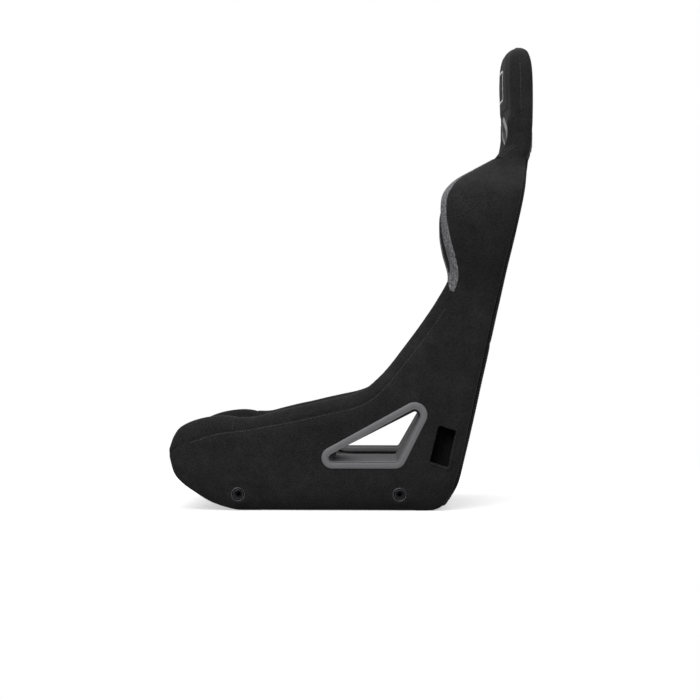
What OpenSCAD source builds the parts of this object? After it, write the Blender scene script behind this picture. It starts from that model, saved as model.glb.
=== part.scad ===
// Fixed-back racing seat: a steel tube frame inside moulded foam, covered in fabric,
// with plastic belt bezels. The front faces -Y, +X is the occupant's left, +Z is up.
// The origin lies on the floor under the middle of the seat.

/* [Mounting] */
// Distance between the two side mount threads on each side
mount_spacing = 290; // [250:1:310]
// Height of the side mount threads above the base
mount_height = 29.5; // [28:0.5:36]
// Radius of the bored thread core of an M8 side mount
thread_core_r = 3.4; // [3:0.1:4.2]
// Radius of a mount boss
boss_r = 9; // [8:0.5:10]

/* [Frame] */
// Outside diameter of the main frame tubes
tube_d = 25; // [22:1:26]
// Outside diameter of the light hoops
hoop_d = 16; // [12:1:18]
// Wall thickness of the tubes
tube_wall = 2; // [1.5:0.5:3]

/* [Upholstery] */
// Half of the inside width between the bolsters at the hips
hip_half = 187; // [182:1:190]
// Half of the outside width at the hips
body_half = 244; // [242:1:250]
// Depth from the rear outline to the face of the back cushion
back_depth = 66; // [60:1:72]
// Depth of the sewn channels in the cushions
channel = 4; // [0:0.5:6]

/* [Trim] */
// Width of the flange round a belt opening
flange_w = 13; // [9:1:14]
// Thickness of the bezel flanges
flange_t = 3; // [2:0.5:4]
// Width of a shoulder belt slot
belt_slot_w = 86; // [78:1:88]
// Height of a shoulder belt slot
belt_slot_h = 30; // [24:1:34]

/* [Hidden] */
$fn = 48;

fabric = "#2c2c2d";
mesh_fabric = "#757577";
plastic = "#6e6e70";
steel = "#3a3c3e";
zinc = "#8f9294";
webbing = "#55504a";

// Running gaps: between two pieces that lie against each other, and round a buried tube.
fit = 0.4;
bury = 0.5;
// The outline is drawn with y = 0 midway between the side mounts; the origin is moved
// to the middle of the seat's overall depth.
origin_y = 61.5;
tube_r = tube_d / 2;
hoop_r = hoop_d / 2;
mount_y = mount_spacing / 2;
// The bosses end a share of the foam's thickness inside its outer face, and each eyelet is
// pressed a little way back over its boss.
boss_face = mix(body_half, hip_half, 0.0912);
eyelet_seat = boss_face - 2.2;
eyelet_r = 12;
accent_from = 32;
accent_t = 1.2;
strap_t = 2;
cushion_base = mount_height + tube_r + strap_t + 2 * fit;
neck_z = 640;
panel_t = 6.6;
tube_in = 24;
// The main tube runs a little inside the middle of the foam between the two half widths.
tube_x = mix(hip_half, body_half, 0.44);
strap_in = tube_in + tube_r + strap_t + 2 * fit;

// Rear outline of the seat from base to neck: [height, y].
BACK = smooth([
    [0, 224], [20, 236], [48, 251], [92, 262], [157, 277.5], [244, 297], [331, 316],
    [418, 335], [505, 355.5], [571, 370.2], [614, 375.6], [640, 379.5], [660, 386]
], 3);
// Half widths by height: the outside of the seat, and the inside of the bolsters.
OUTER = smooth([
    [0, body_half - 14], [30, body_half - 5], [75, body_half], [195, body_half],
    [260, body_half - 5], [340, body_half - 10], [400, body_half - 4], [450, body_half + 12],
    [500, body_half + 23], [545, body_half + 24], [575, body_half + 15], [600, 224],
    [620, 188], [636, 164], [700, 158]
], 3);
INNER = smooth([
    [0, hip_half], [340, hip_half], [380, hip_half + 3], [430, hip_half + 13],
    [480, hip_half + 26], [530, hip_half + 28], [565, hip_half + 18], [592, hip_half - 8],
    [615, hip_half - 48], [632, hip_half - 80], [700, hip_half - 90]
], 3);
// Cross tubes: [y, z, half length].
FRONT_BAR = [-174, mount_height, tube_x - 6];
REAR_BAR = [100, mount_height, tube_x - 6];
LUMBAR_BAR = [rear_y(310) - tube_in, 310, tube_x - 6];
SHOULDER_BAR = [rear_y(530) - tube_in, 530, between(530, 0.43) - 6];
// Stations of a side bolster from nose to neck: front or top edge [y, z], rear or lower
// edge [y, z], then how far the outside and the inside draw together towards the nose, as
// shares of the thickness.
STATIONS = smooth([
    [-269, 112, -268, 93, 0.3, 0.39], [-261, 134, -260, 66, 0.19, 0.16],
    [-247, 151, -246, 49, 0.12, 0.05], [-222, 163.5, -222, 31, 0.05, 0],
    [-190, 169.5, -190, 12.2, 0.02, 0], [-150, 166.5, -152, 0, 0, 0],
    [-95, 172.5, -98, 0, 0, 0], [-45, 184, -45, 0, 0, 0], [10, 197.5, 15, 0, 0, 0],
    [58, 211, 95, 0, 0, 0], [84, 221.5, 150, 0, 0, 0], [103, 235, 204, 0, 0, 0],
    [121, 252, 232, 22, 0, 0], [141, 277, 255, 88, 0, 0], [164, 308, 277, 190, 0, 0],
    [197, 354, 298, 285, 0, 0],
    [229, 406, 315, 362, 0, 0], [236.5, 436, 328, 420, 0, 0], [225, 483, 341, 476, 0, 0],
    [218.3, 530, 353, 524, 0, 0], [222, 566, 361, 558, 0, 0], [243, 594, 366, 584, 0, 0],
    [277, 617, 369, 610, 0, 0], [301, 631, 371, 628, 0, 0], [320, 640, 372, 640, 0, 0]
], 2);
// Lap belt opening: corner circles [y, z, radius] of the clear opening at its outer and at
// its inner end, between which the sleeve narrows.
LAP = [[24.8, 95.6, 6.6], [137, 96, 7], [172, 172.5, 10]];
LAP_END = [[32, 103, 3], [134, 104.5, 4.5], [172, 172, 5]];
lap_out_x = body_half - 0.6;
lap_in_x = hip_half + 0.6;
// Rear belt slot in the side, corner circles.
REAR_SLOT = [[202, 90, 3], [230, 80, 3], [243, 142, 3], [217, 150.5, 3]];
// Shoulder belt slots: middle [x, z], tilt of the outer end downwards and turn with the pad.
belt_slot = [79, 690];
slot_tilt = 22;
slot_turn = 5;
slot_front = 14;
slot_rear = 385;
slot_sleeve = 19;
SHOULDER = [for (sx = [-1, 1], sz = [-1, 1])
    [sx * (belt_slot_w / 2 - 9), sz * (belt_slot_h / 2 - 9), 9]];
// Crotch strap slot: middle y, height and slope of the cushion there, corner circles.
crotch_y = -128;
crotch_z = 137;
crotch_tilt = 15;
CROTCH = [for (sx = [-1, 1]) [sx * 26, 0, 11]];
// Headrest by height: [z, front y, rear y, half width].
HEAD = smooth([
    [neck_z + fit, 319, 381, 163], [660, 328.6, 386.5, 159], [683, 333.5, 389, 158],
    [712, 334.4, 390.2, 157], [752, 333.5, 390.5, 154], [792, 332.3, 390.3, 146],
    [820, 334, 389.5, 134], [842, 339, 386, 112], [855, 347, 379.5, 86], [861, 356, 371, 60]
], 2);
HEAD_FRONT = [for (h = HEAD) [h[0], h[1]]];
pad_bulge = 14;

// ---------- helpers ----------
function mix(a, b, t) = a + (b - a) * t;
function curve(a, b, c, d, t) =
    0.5 * (2 * b + (c - a) * t + (2 * a - 5 * b + 4 * c - d) * t * t
    + (3 * b - a - 3 * c + d) * t * t * t);
function smooth(p, k) = let (n = len(p)) [
    for (i = [0:n - 2]) for (s = [0:k - 1])
        curve(p[max(i - 1, 0)], p[i], p[i + 1], p[min(i + 2, n - 1)], s / k),
    p[n - 1]
];
function smooth_loop(p, k) = let (n = len(p)) [
    for (i = [0:n - 1]) for (s = [0:k - 1])
        curve(p[(i + n - 1) % n], p[i], p[(i + 1) % n], p[(i + 2) % n], s / k)
];
function total(v, i = 0) = i == len(v) - 1 ? v[i] : v[i] + total(v, i + 1);
function centre(r) = total(r) / len(r);
function ring_normal(r) = total([for (i = [1:len(r) - 2]) cross(r[i] - r[0], r[i + 1] - r[0])]);
function rear_y(z) = lookup(z, BACK);
function outer_half(z) = lookup(z, OUTER);
function inner_half(z) = lookup(z, INNER);
// Half width at a share of the way from the inside of a bolster to its outside.
function between(z, share) = mix(inner_half(z), outer_half(z), share);

// Outline round corner circles, pushed out by d: the circle that reaches furthest along
// each direction gives the point.
function reach(c, a) = c[0] * cos(a) + c[1] * sin(a) + c[2];
function furthest(circles, a) = let (m = max([for (c = circles) reach(c, a)]))
    [for (c = circles) if (reach(c, a) > m - 0.001) c][0];
function outline(circles, d, n = 40) = [
    for (i = [0:n - 1]) let (a = 360 * i / n + 0.7, c = furthest(circles, a))
        [c[0] + (c[2] + d) * cos(a), c[1] + (c[2] + d) * sin(a)]
];

// Solid through a row of rings; closed joins the last ring to the first one.
module loft(rings, closed = false) {
    n = len(rings[0]);
    m = len(rings);
    forward = ring_normal(rings[0]) * (centre(rings[1]) - centre(rings[0])) > 0;
    sides = [for (i = [0:closed ? m - 1 : m - 2], j = [0:n - 1])
        let (a = i * n + j, b = i * n + (j + 1) % n, c = (a + n) % (m * n), d = (b + n) % (m * n))
        each (forward ? [[a, c, b], [b, c, d]] : [[a, b, c], [b, d, c]])];
    order = [for (j = [0:n - 1]) j];
    turned_order = [for (j = [0:n - 1]) (n - j) % n];
    caps = closed ? [] : [forward ? order : turned_order,
        [for (j = forward ? turned_order : order) (m - 1) * n + j]];
    polyhedron(points = [for (r = rings) each r], faces = concat(sides, caps));
}

function unit(v) = v / norm(v);

// Ring square to a path at point i; across is a direction that no part of the path follows.
function path_ring(path, i, r, across, sides) = let (
    n = len(path),
    along = unit(unit(path[min(i + 1, n - 1)] - path[max(i - 1, 0)])
        + (i > 0 && i < n - 1 ? unit(path[i + 1] - path[i]) : [0, 0, 0])),
    u = unit(cross(along, across)),
    v = cross(along, u)
) [for (k = [0:sides - 1]) let (a = 360 * (k + 0.5) / sides)
    path[i] + r * cos(a) * u + r * sin(a) * v];

// Solid round bar along a bent path.
module bar(path, r, across = [1, 0, 0], sides = 12) {
    loft([for (i = [0:len(path) - 1]) path_ring(path, i, r / cos(180 / sides), across, sides)]);
}

// Tube along a bent path, open at both ends.
module tube(path, r, across = [1, 0, 0], sides = 12) {
    last = len(path) - 1;
    loft([for (i = [0:last]) path_ring(path, i, r, across, sides),
        for (i = [last:-1:0]) path_ring(path, i, r - tube_wall, across, sides)], closed = true);
}

module place() {
    translate([0, -origin_y, 0]) children();
}

module right_side() {
    mirror([1, 0, 0]) children();
}

// ---------- frame ----------
function back_point(x, z, inset) = [x, rear_y(z) - inset, z];

function wing_point(share, y, z) = [between(z, share), y, z];

SIDE_PATH = [
    [tube_x, -190, mount_height], [tube_x, 118, mount_height], [tube_x, 156, 46],
    [tube_x, 172, 85], [tube_x, 197, 154], [tube_x, 230, 215], [tube_x, 268, 268],
    back_point(tube_x, 330, tube_in), back_point(tube_x, 410, tube_in),
    back_point(between(470, 0.32), 470, tube_in), back_point(between(530, 0.43), 530, tube_in),
    back_point(between(568, 0.4), 568, tube_in), back_point(between(600, 0.32), 600, tube_in),
    back_point(between(622, 0.44), 622, tube_in)
];
thigh_x = tube_x + 2;
THIGH_PATH = [
    [thigh_x, -184, mount_height + tube_r - 1], [thigh_x, -226, 66], [thigh_x, -240, 100],
    [thigh_x, -216, 132], [thigh_x, -160, 138], [thigh_x, -60, 150], [thigh_x, 20, 168],
    [thigh_x, 74, 192], [thigh_x, 112, 226], [thigh_x, 150, 270], [thigh_x, 190, 296],
    [thigh_x - 1, 276, 300]
];
WING_PATH = [
    back_point(tube_x, 400, tube_in + 4), wing_point(0.35, 270, 424), wing_point(0.36, 256, 462),
    wing_point(0.44, 246, 500), wing_point(0.54, 246, 545), wing_point(0.58, 264, 572),
    wing_point(0.46, 296, 584), back_point(between(587, 0.32), 587, tube_in + 4)
];
HEAD_PATH = [
    back_point(150, 620, tube_in), [140, 361, 668], [139, 364, 720], [134, 364, 770],
    [116, 363, 808], [84, 363, 832], [0, 363, 838], [-84, 363, 832], [-116, 363, 808],
    [-134, 364, 770], [-139, 364, 720], [-140, 361, 668], back_point(-150, 620, tube_in)
];

module cross_bar(at, over, r) {
    translate([-at[2] - over, at[0], at[1]])
    rotate([0, 90, 0])
    cylinder(h = 2 * (at[2] + over), r = r);
}

module side_tube() {
    color(steel) place() difference() {
        tube(SIDE_PATH, tube_r);
        for (s = [-1, 1])
            translate([tube_x - 32, s * mount_y, mount_height])
            rotate([0, 90, 0])
            cylinder(h = 60, r = boss_r + 0.05);
    }
}

module side_tube_left() {
    side_tube();
}

module side_tube_right() {
    right_side() side_tube();
}

// Cross tube between the two side tubes, with its ends cut to fit round them.
module cross_tube(at) {
    color(steel) place() difference() {
        cross_bar(at, 0, tube_r);
        cross_bar(at, 1, tube_r - tube_wall);
        bar(SIDE_PATH, tube_r + 0.1);
        right_side() bar(SIDE_PATH, tube_r + 0.1);
    }
}

module front_cross_tube() {
    cross_tube(FRONT_BAR);
}

module rear_cross_tube() {
    cross_tube(REAR_BAR);
}

module lumbar_cross_tube() {
    cross_tube(LUMBAR_BAR);
}

module shoulder_cross_tube() {
    cross_tube(SHOULDER_BAR);
}

module headrest_hoop() {
    color(steel) place() difference() {
        tube(HEAD_PATH, hoop_r, [0, 1, 0]);
        bar(SIDE_PATH, tube_r + 0.1);
        right_side() bar(SIDE_PATH, tube_r + 0.1);
    }
}

module thigh_hoop() {
    color(steel) place() difference() {
        tube(THIGH_PATH, hoop_r);
        bar(SIDE_PATH, tube_r + 0.1);
    }
}

module thigh_hoop_left() {
    thigh_hoop();
}

module thigh_hoop_right() {
    right_side() thigh_hoop();
}

module wing_hoop() {
    color(steel) place() difference() {
        tube(WING_PATH, hoop_r);
        bar(SIDE_PATH, tube_r + 0.1);
    }
}

module wing_hoop_left() {
    wing_hoop();
}

module wing_hoop_right() {
    right_side() wing_hoop();
}

// Threaded bushes welded across the side tube, open to the side of the seat.
module mount_bosses() {
    color(steel) place()
    for (s = [-1, 1])
        translate([tube_x - tube_r, s * mount_y, mount_height])
        rotate([0, 90, 0])
        difference() {
            cylinder(h = boss_face - tube_x + tube_r, r = boss_r);
            translate([0, 0, 8]) cylinder(h = 60, r = thread_core_r);
        }
}

module mount_bosses_left() {
    mount_bosses();
}

module mount_bosses_right() {
    right_side() mount_bosses();
}

// Pressed rings that finish the cover round each side mount.
module mount_eyelets() {
    color(zinc) place()
    for (s = [-1, 1])
        translate([eyelet_seat, s * mount_y, mount_height])
        rotate([0, 90, 0])
        rotate_extrude()
        polygon([[boss_r + 0.1, 0], [eyelet_r - 0.6, 0], [eyelet_r, 0.7], [eyelet_r - 0.2, 1.9],
            [eyelet_r - 1.2, 2.5], [boss_r + 0.7, 2.5], [boss_r + 0.1, 1.9]]);
}

module mount_eyelets_left() {
    mount_eyelets();
}

module mount_eyelets_right() {
    right_side() mount_eyelets();
}

// Elastic strap looped round two cross tubes, with its band on the occupant's side.
module strap(x, width, from, to) {
    a = [from[0], from[1]];
    v = [to[0], to[1]] - a;
    len_ab = norm(v);
    translate([x - width / 2, a[0], a[1]])
    rotate([atan2(v[1], v[0]), 0, 0])
    difference() {
        union() {
            for (y = [0, len_ab])
                translate([0, y, 0]) rotate([0, 90, 0])
                cylinder(h = width, r = tube_r + fit / 2 + strap_t);
            translate([0, 0, tube_r + fit / 2])
            cube([width, len_ab, strap_t]);
        }
        for (y = [0, len_ab])
            translate([-1, y, 0]) rotate([0, 90, 0])
            cylinder(h = width + 2, r = tube_r + fit / 2);
    }
}

module seat_straps() {
    color(webbing) place()
    for (x = [-135, -70, 70, 135])
        strap(x, 45, FRONT_BAR, REAR_BAR);
}

module back_straps() {
    color(webbing) place()
    for (x = [-110, 0, 110])
        strap(x, 50, LUMBAR_BAR, SHOULDER_BAR);
}

module along_x(x, side) {
    translate([x, side * mount_y, mount_height]) rotate([0, 90, 0]) children();
}

// Everything of the frame that a left foam block is moulded round.
module buried_frame() {
    bar(SIDE_PATH, tube_r + bury);
    bar(THIGH_PATH, hoop_r + bury);
    bar(WING_PATH, hoop_r + bury);
    bar(HEAD_PATH, hoop_r + bury, [0, 1, 0]);
    for (at = [FRONT_BAR, REAR_BAR, LUMBAR_BAR, SHOULDER_BAR])
        cross_bar(at, 4, tube_r + bury);
    for (s = [-1, 1]) {
        along_x(tube_x - tube_r - bury, s) cylinder(h = 80, r = boss_r + bury);
        along_x(eyelet_seat - fit, s) cylinder(h = 20, r = eyelet_r + fit);
    }
}

// ---------- upholstery ----------
// Outline of a bolster's section: [share of the depth, share of the thickness], where
// edge is the depth share over which the front and rear edges are rounded.
function section(edge) = smooth_loop([
    [0, 0.52], [0.3 * edge, 0.82], [edge, 0.975], [0.38, 1], [0.66, 1], [1 - edge, 0.985],
    [1 - 0.25 * edge, 0.87], [1, 0.66], [1, 0], [0.55, 0], [1.3 * edge, 0.02], [0.3 * edge, 0.22]
], 2);

function station_length(s) = norm([s[2] - s[0], s[3] - s[1]]);

// One ring of the bolster in its own plane: [distance from the front edge, x].
function flat_ring(s) = let (len_s = station_length(s), edge = min(0.27, 30 / len_s)) [
    for (p = section(edge))
        let (u = max(0, min(1, p[0])), w = max(0, min(1, p[1])), z = max(0, mix(s[1], s[3], u)))
        [u * len_s, mix(between(z, s[5]), between(z, 1 - s[4]), w)]
];

function lift(s, p) = let (u = p[0] / station_length(s))
    [p[1], mix(s[0], s[2], u), max(0, mix(s[1], s[3], u))];

module bolster_form() {
    loft([for (s = STATIONS) [for (p = flat_ring(s)) lift(s, p)]]);
}

function lap_ring(d, depth, x) = let (a = outline(LAP, d), b = outline(LAP_END, d))
    [for (i = [0:len(a) - 1]) let (p = mix(a[i], b[i], depth)) [x, p[0], p[1]]];

module lap_prism(d, depth, x0, x1) {
    loft([lap_ring(d, depth, x0), lap_ring(d, depth, x1)]);
}

module side_bolster() {
    color(fabric) place() difference() {
        bolster_form();
        buried_frame();
        panel_form(fit);
        lap_prism(3.4, 0, hip_half - 20, body_half + 20);
        lap_prism(flange_w + fit, 0, lap_out_x - fit, body_half + 20);
        lap_prism(flange_w + fit, 1, hip_half - 20, lap_in_x + fit);
        slot_prism(0, hip_half - 20, body_half + 20);
        slot_prism(6 + fit, body_half - 1.6, body_half + 20);
    }
}

module slot_prism(d, x0, x1) {
    loft([for (x = [x0, x1]) [for (p = outline(REAR_SLOT, d)) [x, p[0], p[1]]]]);
}

module side_bolster_left() {
    side_bolster();
}

module side_bolster_right() {
    right_side() side_bolster();
}

function turned(ring, i, d) = let (
    n = len(ring),
    v = ring[(i + 1 + n) % n] - ring[(i - 1 + n) % n],
    out = [-v[1], v[0]] / norm(v)
) ring[(i + n) % n] + d * out;

// Mesh fabric strip over the leading edge of a wing.
module wing_accent() {
    rings = [for (k = [accent_from:len(STATIONS) - 2]) let (s = STATIONS[k], r = flat_ring(s))
        [for (i = [-3:3]) lift(s, turned(r, i, fit + accent_t)),
         for (i = [3:-1:-3]) lift(s, turned(r, i, fit))]];
    color(mesh_fabric) place() loft(rings);
}

module wing_accent_left() {
    wing_accent();
}

module wing_accent_right() {
    right_side() wing_accent();
}

// Share of a cushion's half width along X, from one side to the other.
SPAN = [-1, -0.985, -0.94, -0.82, -0.53, -0.5, -0.47, -0.2, 0,
    0.2, 0.47, 0.5, 0.53, 0.82, 0.94, 0.985, 1];

// Roll-off towards a cushion's sides, and the sewn channels at half of the half width.
function roll(t, deep = channel) = 16 * pow(abs(t), 14) + (abs(abs(t) - 0.5) < 0.01 ? deep : 0);

// Seat cushion outline from the side: [y, z, how far it follows the roll-off in y and z].
SEAT = [
    [-192, cushion_base, 0, 0], [203, cushion_base, 0, 0],
    [205, 58, 0, 0], [205, 74, 0, -0.6], [198, 84, 0, -1],
    [150, 82, 0, -1], [90, 82, 0, -1], [40, 86, 0, -1], [-5, 96, 0, -1], [-60, 115, 0, -1],
    [-66, 113, 0, -1], [-72, 118, 0, -1], [-130, 138, 0, -1], [-190, 150, 0, -1],
    [-228, 147, 0.4, -1], [-248, 132, 0.9, -0.6], [-258, 106, 1, -0.2], [-254, 74, 1, 0],
    [-238, 48, 1, 0.2], [-214, 27, 0.6, 0.2], [-205, 20, 0.2, 0], [-197, 18, 0, 0]
];

module seat_cushion() {
    half = hip_half - 0.9;
    color(fabric) place() difference() {
        loft([for (t = SPAN) [for (p = SEAT)
            [t * half, p[0] + roll(t) * p[2], p[1] + roll(t) * p[3]]]]);
        translate([0, crotch_y, 0]) crotch_prism(5.5, 30, 200);
        crotch_frame() crotch_prism(8 + fit, -fit, 60);
    }
}

module crotch_frame() {
    translate([0, crotch_y, crotch_z]) rotate([-crotch_tilt, 0, 0]) children();
}

module crotch_prism(d, z0, z1) {
    loft([for (z = [z0, z1]) [for (p = outline(CROTCH, d)) [p[0], p[1], z]]]);
}

// Back cushion in level rings, front face hollowed a little across its width.
BACK_LEVELS = [90, 96, 112, 140, 180, 220, 262, 268, 274, 320, 370, 420, 462, 468, 474, 520,
    560, 590, 610, 624, 634, 639];

function back_ring(z) = let (
    half = inner_half(z) - 0.9,
    seam = (z == 268 || z == 468) ? channel : 0,
    ends = z < 93 ? 10 : z < 100 ? 3 : z > 637 ? 6 : 0,
    deep = z < 93 || z > 637 ? 0 : channel,
    front = rear_y(z) - back_depth + seam + ends,
    back = rear_y(z) - min(strap_in, z > 560 ? strap_in - (z - 560) * 0.2 : strap_in)
) [
    [0, back, z], [-half, back, z],
    for (t = SPAN) [t * half, min(front + roll(t, deep) * 0.55 - 7 * pow(abs(t), 3), back - 4), z],
    [half, back, z]
];

module back_cushion() {
    color(fabric) place() loft([for (z = BACK_LEVELS) back_ring(z)]);
}

// Upper back and headrest block, in level rings.
function head_ring(h) = let (y0 = h[1], y1 = h[2], w = h[3], pad = h[0] > 728 ? 12 : 0,
    mid = mix(y0, y1, 0.6)) [
    [w, mid + 4, h[0]], [0.985 * w, y1 - 7, h[0]], [0.94 * w, y1 - 1.5, h[0]],
    for (t = [0.5, 0, -0.5]) [t * w, y1, h[0]],
    [-0.94 * w, y1 - 1.5, h[0]], [-0.985 * w, y1 - 7, h[0]],
    [-w, mid + 4, h[0]], [-0.985 * w, min(y0 + pad_bulge + 6, mid + 1), h[0]],
    for (t = [-0.9, -0.6, -0.3, 0, 0.3, 0.6, 0.9])
        [t * w, min(y0 + max(pad, pad_bulge * t * t), mid), h[0]],
    [0.985 * w, min(y0 + pad_bulge + 6, mid + 1), h[0]]
];

module headrest_body() {
    color(fabric) place() difference() {
        loft([for (h = HEAD) head_ring(h)]);
        bar(HEAD_PATH, hoop_r + bury, [0, 1, 0]);
        for (s = [0, 1])
            mirror([s, 0, 0]) {
                shoulder_prism(2.4, 300, 420);
                shoulder_frame() shoulder_local(flange_w - 3 + fit, -40, -slot_front + fit);
                shoulder_frame() shoulder_local(2.4, -40, 24 - slot_front);
                shoulder_prism(flange_w - 3 + fit, slot_rear - fit, 420);
            }
    }
}

module shoulder_frame() {
    translate([belt_slot[0], 355, belt_slot[1]])
    rotate([0, 0, slot_turn])
    rotate([0, slot_tilt, 0])
    children();
}

module shoulder_local(d, y0, y1) {
    loft([for (y = [y0, y1]) [for (p = outline(SHOULDER, d, 36)) [p[0], y, p[1]]]]);
}

module shoulder_prism(d, y0, y1) {
    translate([belt_slot[0], 0, belt_slot[1]])
    rotate([0, slot_tilt, 0])
    shoulder_local(d, y0, y1);
}

// Front pad of the headrest, crowned to the outline of the head block.
PAD_LEVELS = smooth([
    [731, 6, 112], [736, 1.5, 121], [752, 0, 125], [785, 0, 122], [812, 0, 112],
    [832, 1, 100], [845, 4, 86], [852, 8.5, 72]
], 2);

function pad_ring(h) = let (z = h[0], y0 = lookup(z, HEAD_FRONT) + h[1],
    y1 = lookup(z, HEAD_FRONT) + 12 - fit, w = h[2]) [
    for (t = [0, 0.4, 0.8, 0.95, 1]) [t * w, min(y0 + 10 * pow(t, 6), y1 - 1.5), z],
    [w, y1, z], [0, y1, z], [-w, y1, z],
    for (t = [1, 0.95, 0.8, 0.4]) [-t * w, min(y0 + 10 * pow(t, 6), y1 - 1.5), z]
];

module headrest_pad() {
    color(fabric) place() loft([for (h = PAD_LEVELS) pad_ring(h)]);
}

// Padded rear cover between the bolsters, proud of them by its own thickness.
PANEL_LEVELS = [8, 22, 48, 92, 157, 244, 331, 418, 505, 571, 606, 626, 639];

function panel_ring(z, room) = let (half = inner_half(z) + 24 + room, y1 = rear_y(z) + room,
    y0 = rear_y(z) - panel_t - room) [
    for (t = [1, 0.98, 0.9, 0.5, 0, -0.5, -0.9, -0.98, -1])
        [t * half, y1 - 4.6 * pow(abs(t), 12), z],
    [-half, y0, z], [0, y0, z], [half, y0, z]
];

module panel_form(room) {
    loft([for (z = PANEL_LEVELS) panel_ring(z, room)]);
}

module back_panel() {
    color(fabric) place() panel_form(0);
}

// Cover board under the seat, with the crotch strap slot.
module under_panel() {
    color(fabric) place() difference() {
        translate([-hip_half + 0.6, -160, 0]) cube([2 * hip_half - 1.2, 362, 4]);
        translate([0, crotch_y, 0]) crotch_prism(2 + fit, -5, 20);
    }
}

// ---------- trim ----------
// Moulded frame round the lap belt opening: [offset from the opening, depth share, x].
module lap_bezel(side) {
    flat = side > 0 ? lap_out_x : lap_in_x;
    end = side > 0 ? 0 : 1;
    half_way = mix(lap_out_x, lap_in_x, 0.5) + side * 0.5;
    rows = [
        [0, end, flat + side * (flange_t - 1)], [1.2, end, flat + side * flange_t],
        [flange_w - 1.5, end, flat + side * flange_t],
        [flange_w, end, flat + side * (flange_t - 1.4)], [flange_w, end, flat],
        [3, end, flat], [2.6, 0.5, half_way], [0, 0.5, half_way]
    ];
    tracks = [for (r = rows) lap_ring(r[0], r[1], r[2])];
    color(plastic) place()
    loft([for (i = [0:len(tracks[0]) - 1]) [for (t = tracks) t[i]]], closed = true);
}

module lap_bezel_outer_left() {
    lap_bezel(1);
}

module lap_bezel_outer_right() {
    right_side() lap_bezel(1);
}

module lap_bezel_inner_left() {
    lap_bezel(-1);
}

module lap_bezel_inner_right() {
    right_side() lap_bezel(-1);
}

// Moulded frame round any outline: face is the plane it lies on, way the side that its
// flange stands out to and deep how far its sleeve reaches in.
module bezel(circles, wide, face, way, deep) {
    rows = [
        [0, flange_t - 1], [1.2, flange_t], [wide - 1.5, flange_t], [wide, flange_t - 1.4],
        [wide, 0], [2, 0], [2, -deep], [0, -deep]
    ];
    tracks = [for (r = rows) [for (p = outline(circles, r[0], 36)) [p[0], face + way * r[1], p[1]]]];
    loft([for (i = [0:len(tracks[0]) - 1]) [for (t = tracks) t[i]]], closed = true);
}

module shoulder_bezel_front() {
    color(plastic) place() shoulder_frame()
    bezel(SHOULDER, flange_w - 3, -slot_front, -1, slot_sleeve);
}

module shoulder_bezel_rear() {
    color(plastic) place()
    translate([belt_slot[0], 0, belt_slot[1]])
    rotate([0, slot_tilt, 0])
    bezel(SHOULDER, flange_w - 3, slot_rear, 1, slot_sleeve);
}

module shoulder_bezel_front_left() {
    shoulder_bezel_front();
}

module shoulder_bezel_front_right() {
    right_side() shoulder_bezel_front();
}

module shoulder_bezel_rear_left() {
    shoulder_bezel_rear();
}

module shoulder_bezel_rear_right() {
    right_side() shoulder_bezel_rear();
}

// Stitched welt round the rear belt slot.
module rear_slot_welt() {
    rows = [[0.4, 0], [0.4, 1.4], [2.4, 3], [4.4, 3], [6, 1.6], [6, 0]];
    tracks = [for (r = rows) [for (p = outline(REAR_SLOT, r[0])) [body_half - 1.2 + r[1], p[0], p[1]]]];
    color(fabric) place()
    loft([for (i = [0:len(tracks[0]) - 1]) [for (t = tracks) t[i]]], closed = true);
}

module rear_slot_welt_left() {
    rear_slot_welt();
}

module rear_slot_welt_right() {
    right_side() rear_slot_welt();
}

// Frames of the crotch strap slot, above in the cushion and below in the board.
module crotch_bezel_top() {
    color(plastic) place()
    crotch_frame()
    rotate([-90, 0, 0])
    bezel(CROTCH, 8, 0, -1, 12);
}

module crotch_bezel_bottom() {
    color(plastic) place()
    translate([0, crotch_y, 0])
    rotate([90, 0, 0])
    bezel(CROTCH, 8, 4.4, 1, 3.6);
}

side_tube_left();
side_tube_right();
front_cross_tube();
rear_cross_tube();
lumbar_cross_tube();
shoulder_cross_tube();
headrest_hoop();
thigh_hoop_left();
thigh_hoop_right();
wing_hoop_left();
wing_hoop_right();
mount_bosses_left();
mount_bosses_right();
mount_eyelets_left();
mount_eyelets_right();
seat_straps();
back_straps();
seat_cushion();
back_cushion();
side_bolster_left();
side_bolster_right();
headrest_body();
headrest_pad();
back_panel();
under_panel();
wing_accent_left();
wing_accent_right();
lap_bezel_outer_left();
lap_bezel_outer_right();
lap_bezel_inner_left();
lap_bezel_inner_right();
shoulder_bezel_front_left();
shoulder_bezel_front_right();
shoulder_bezel_rear_left();
shoulder_bezel_rear_right();
rear_slot_welt_left();
rear_slot_welt_right();
crotch_bezel_top();
crotch_bezel_bottom();
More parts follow.
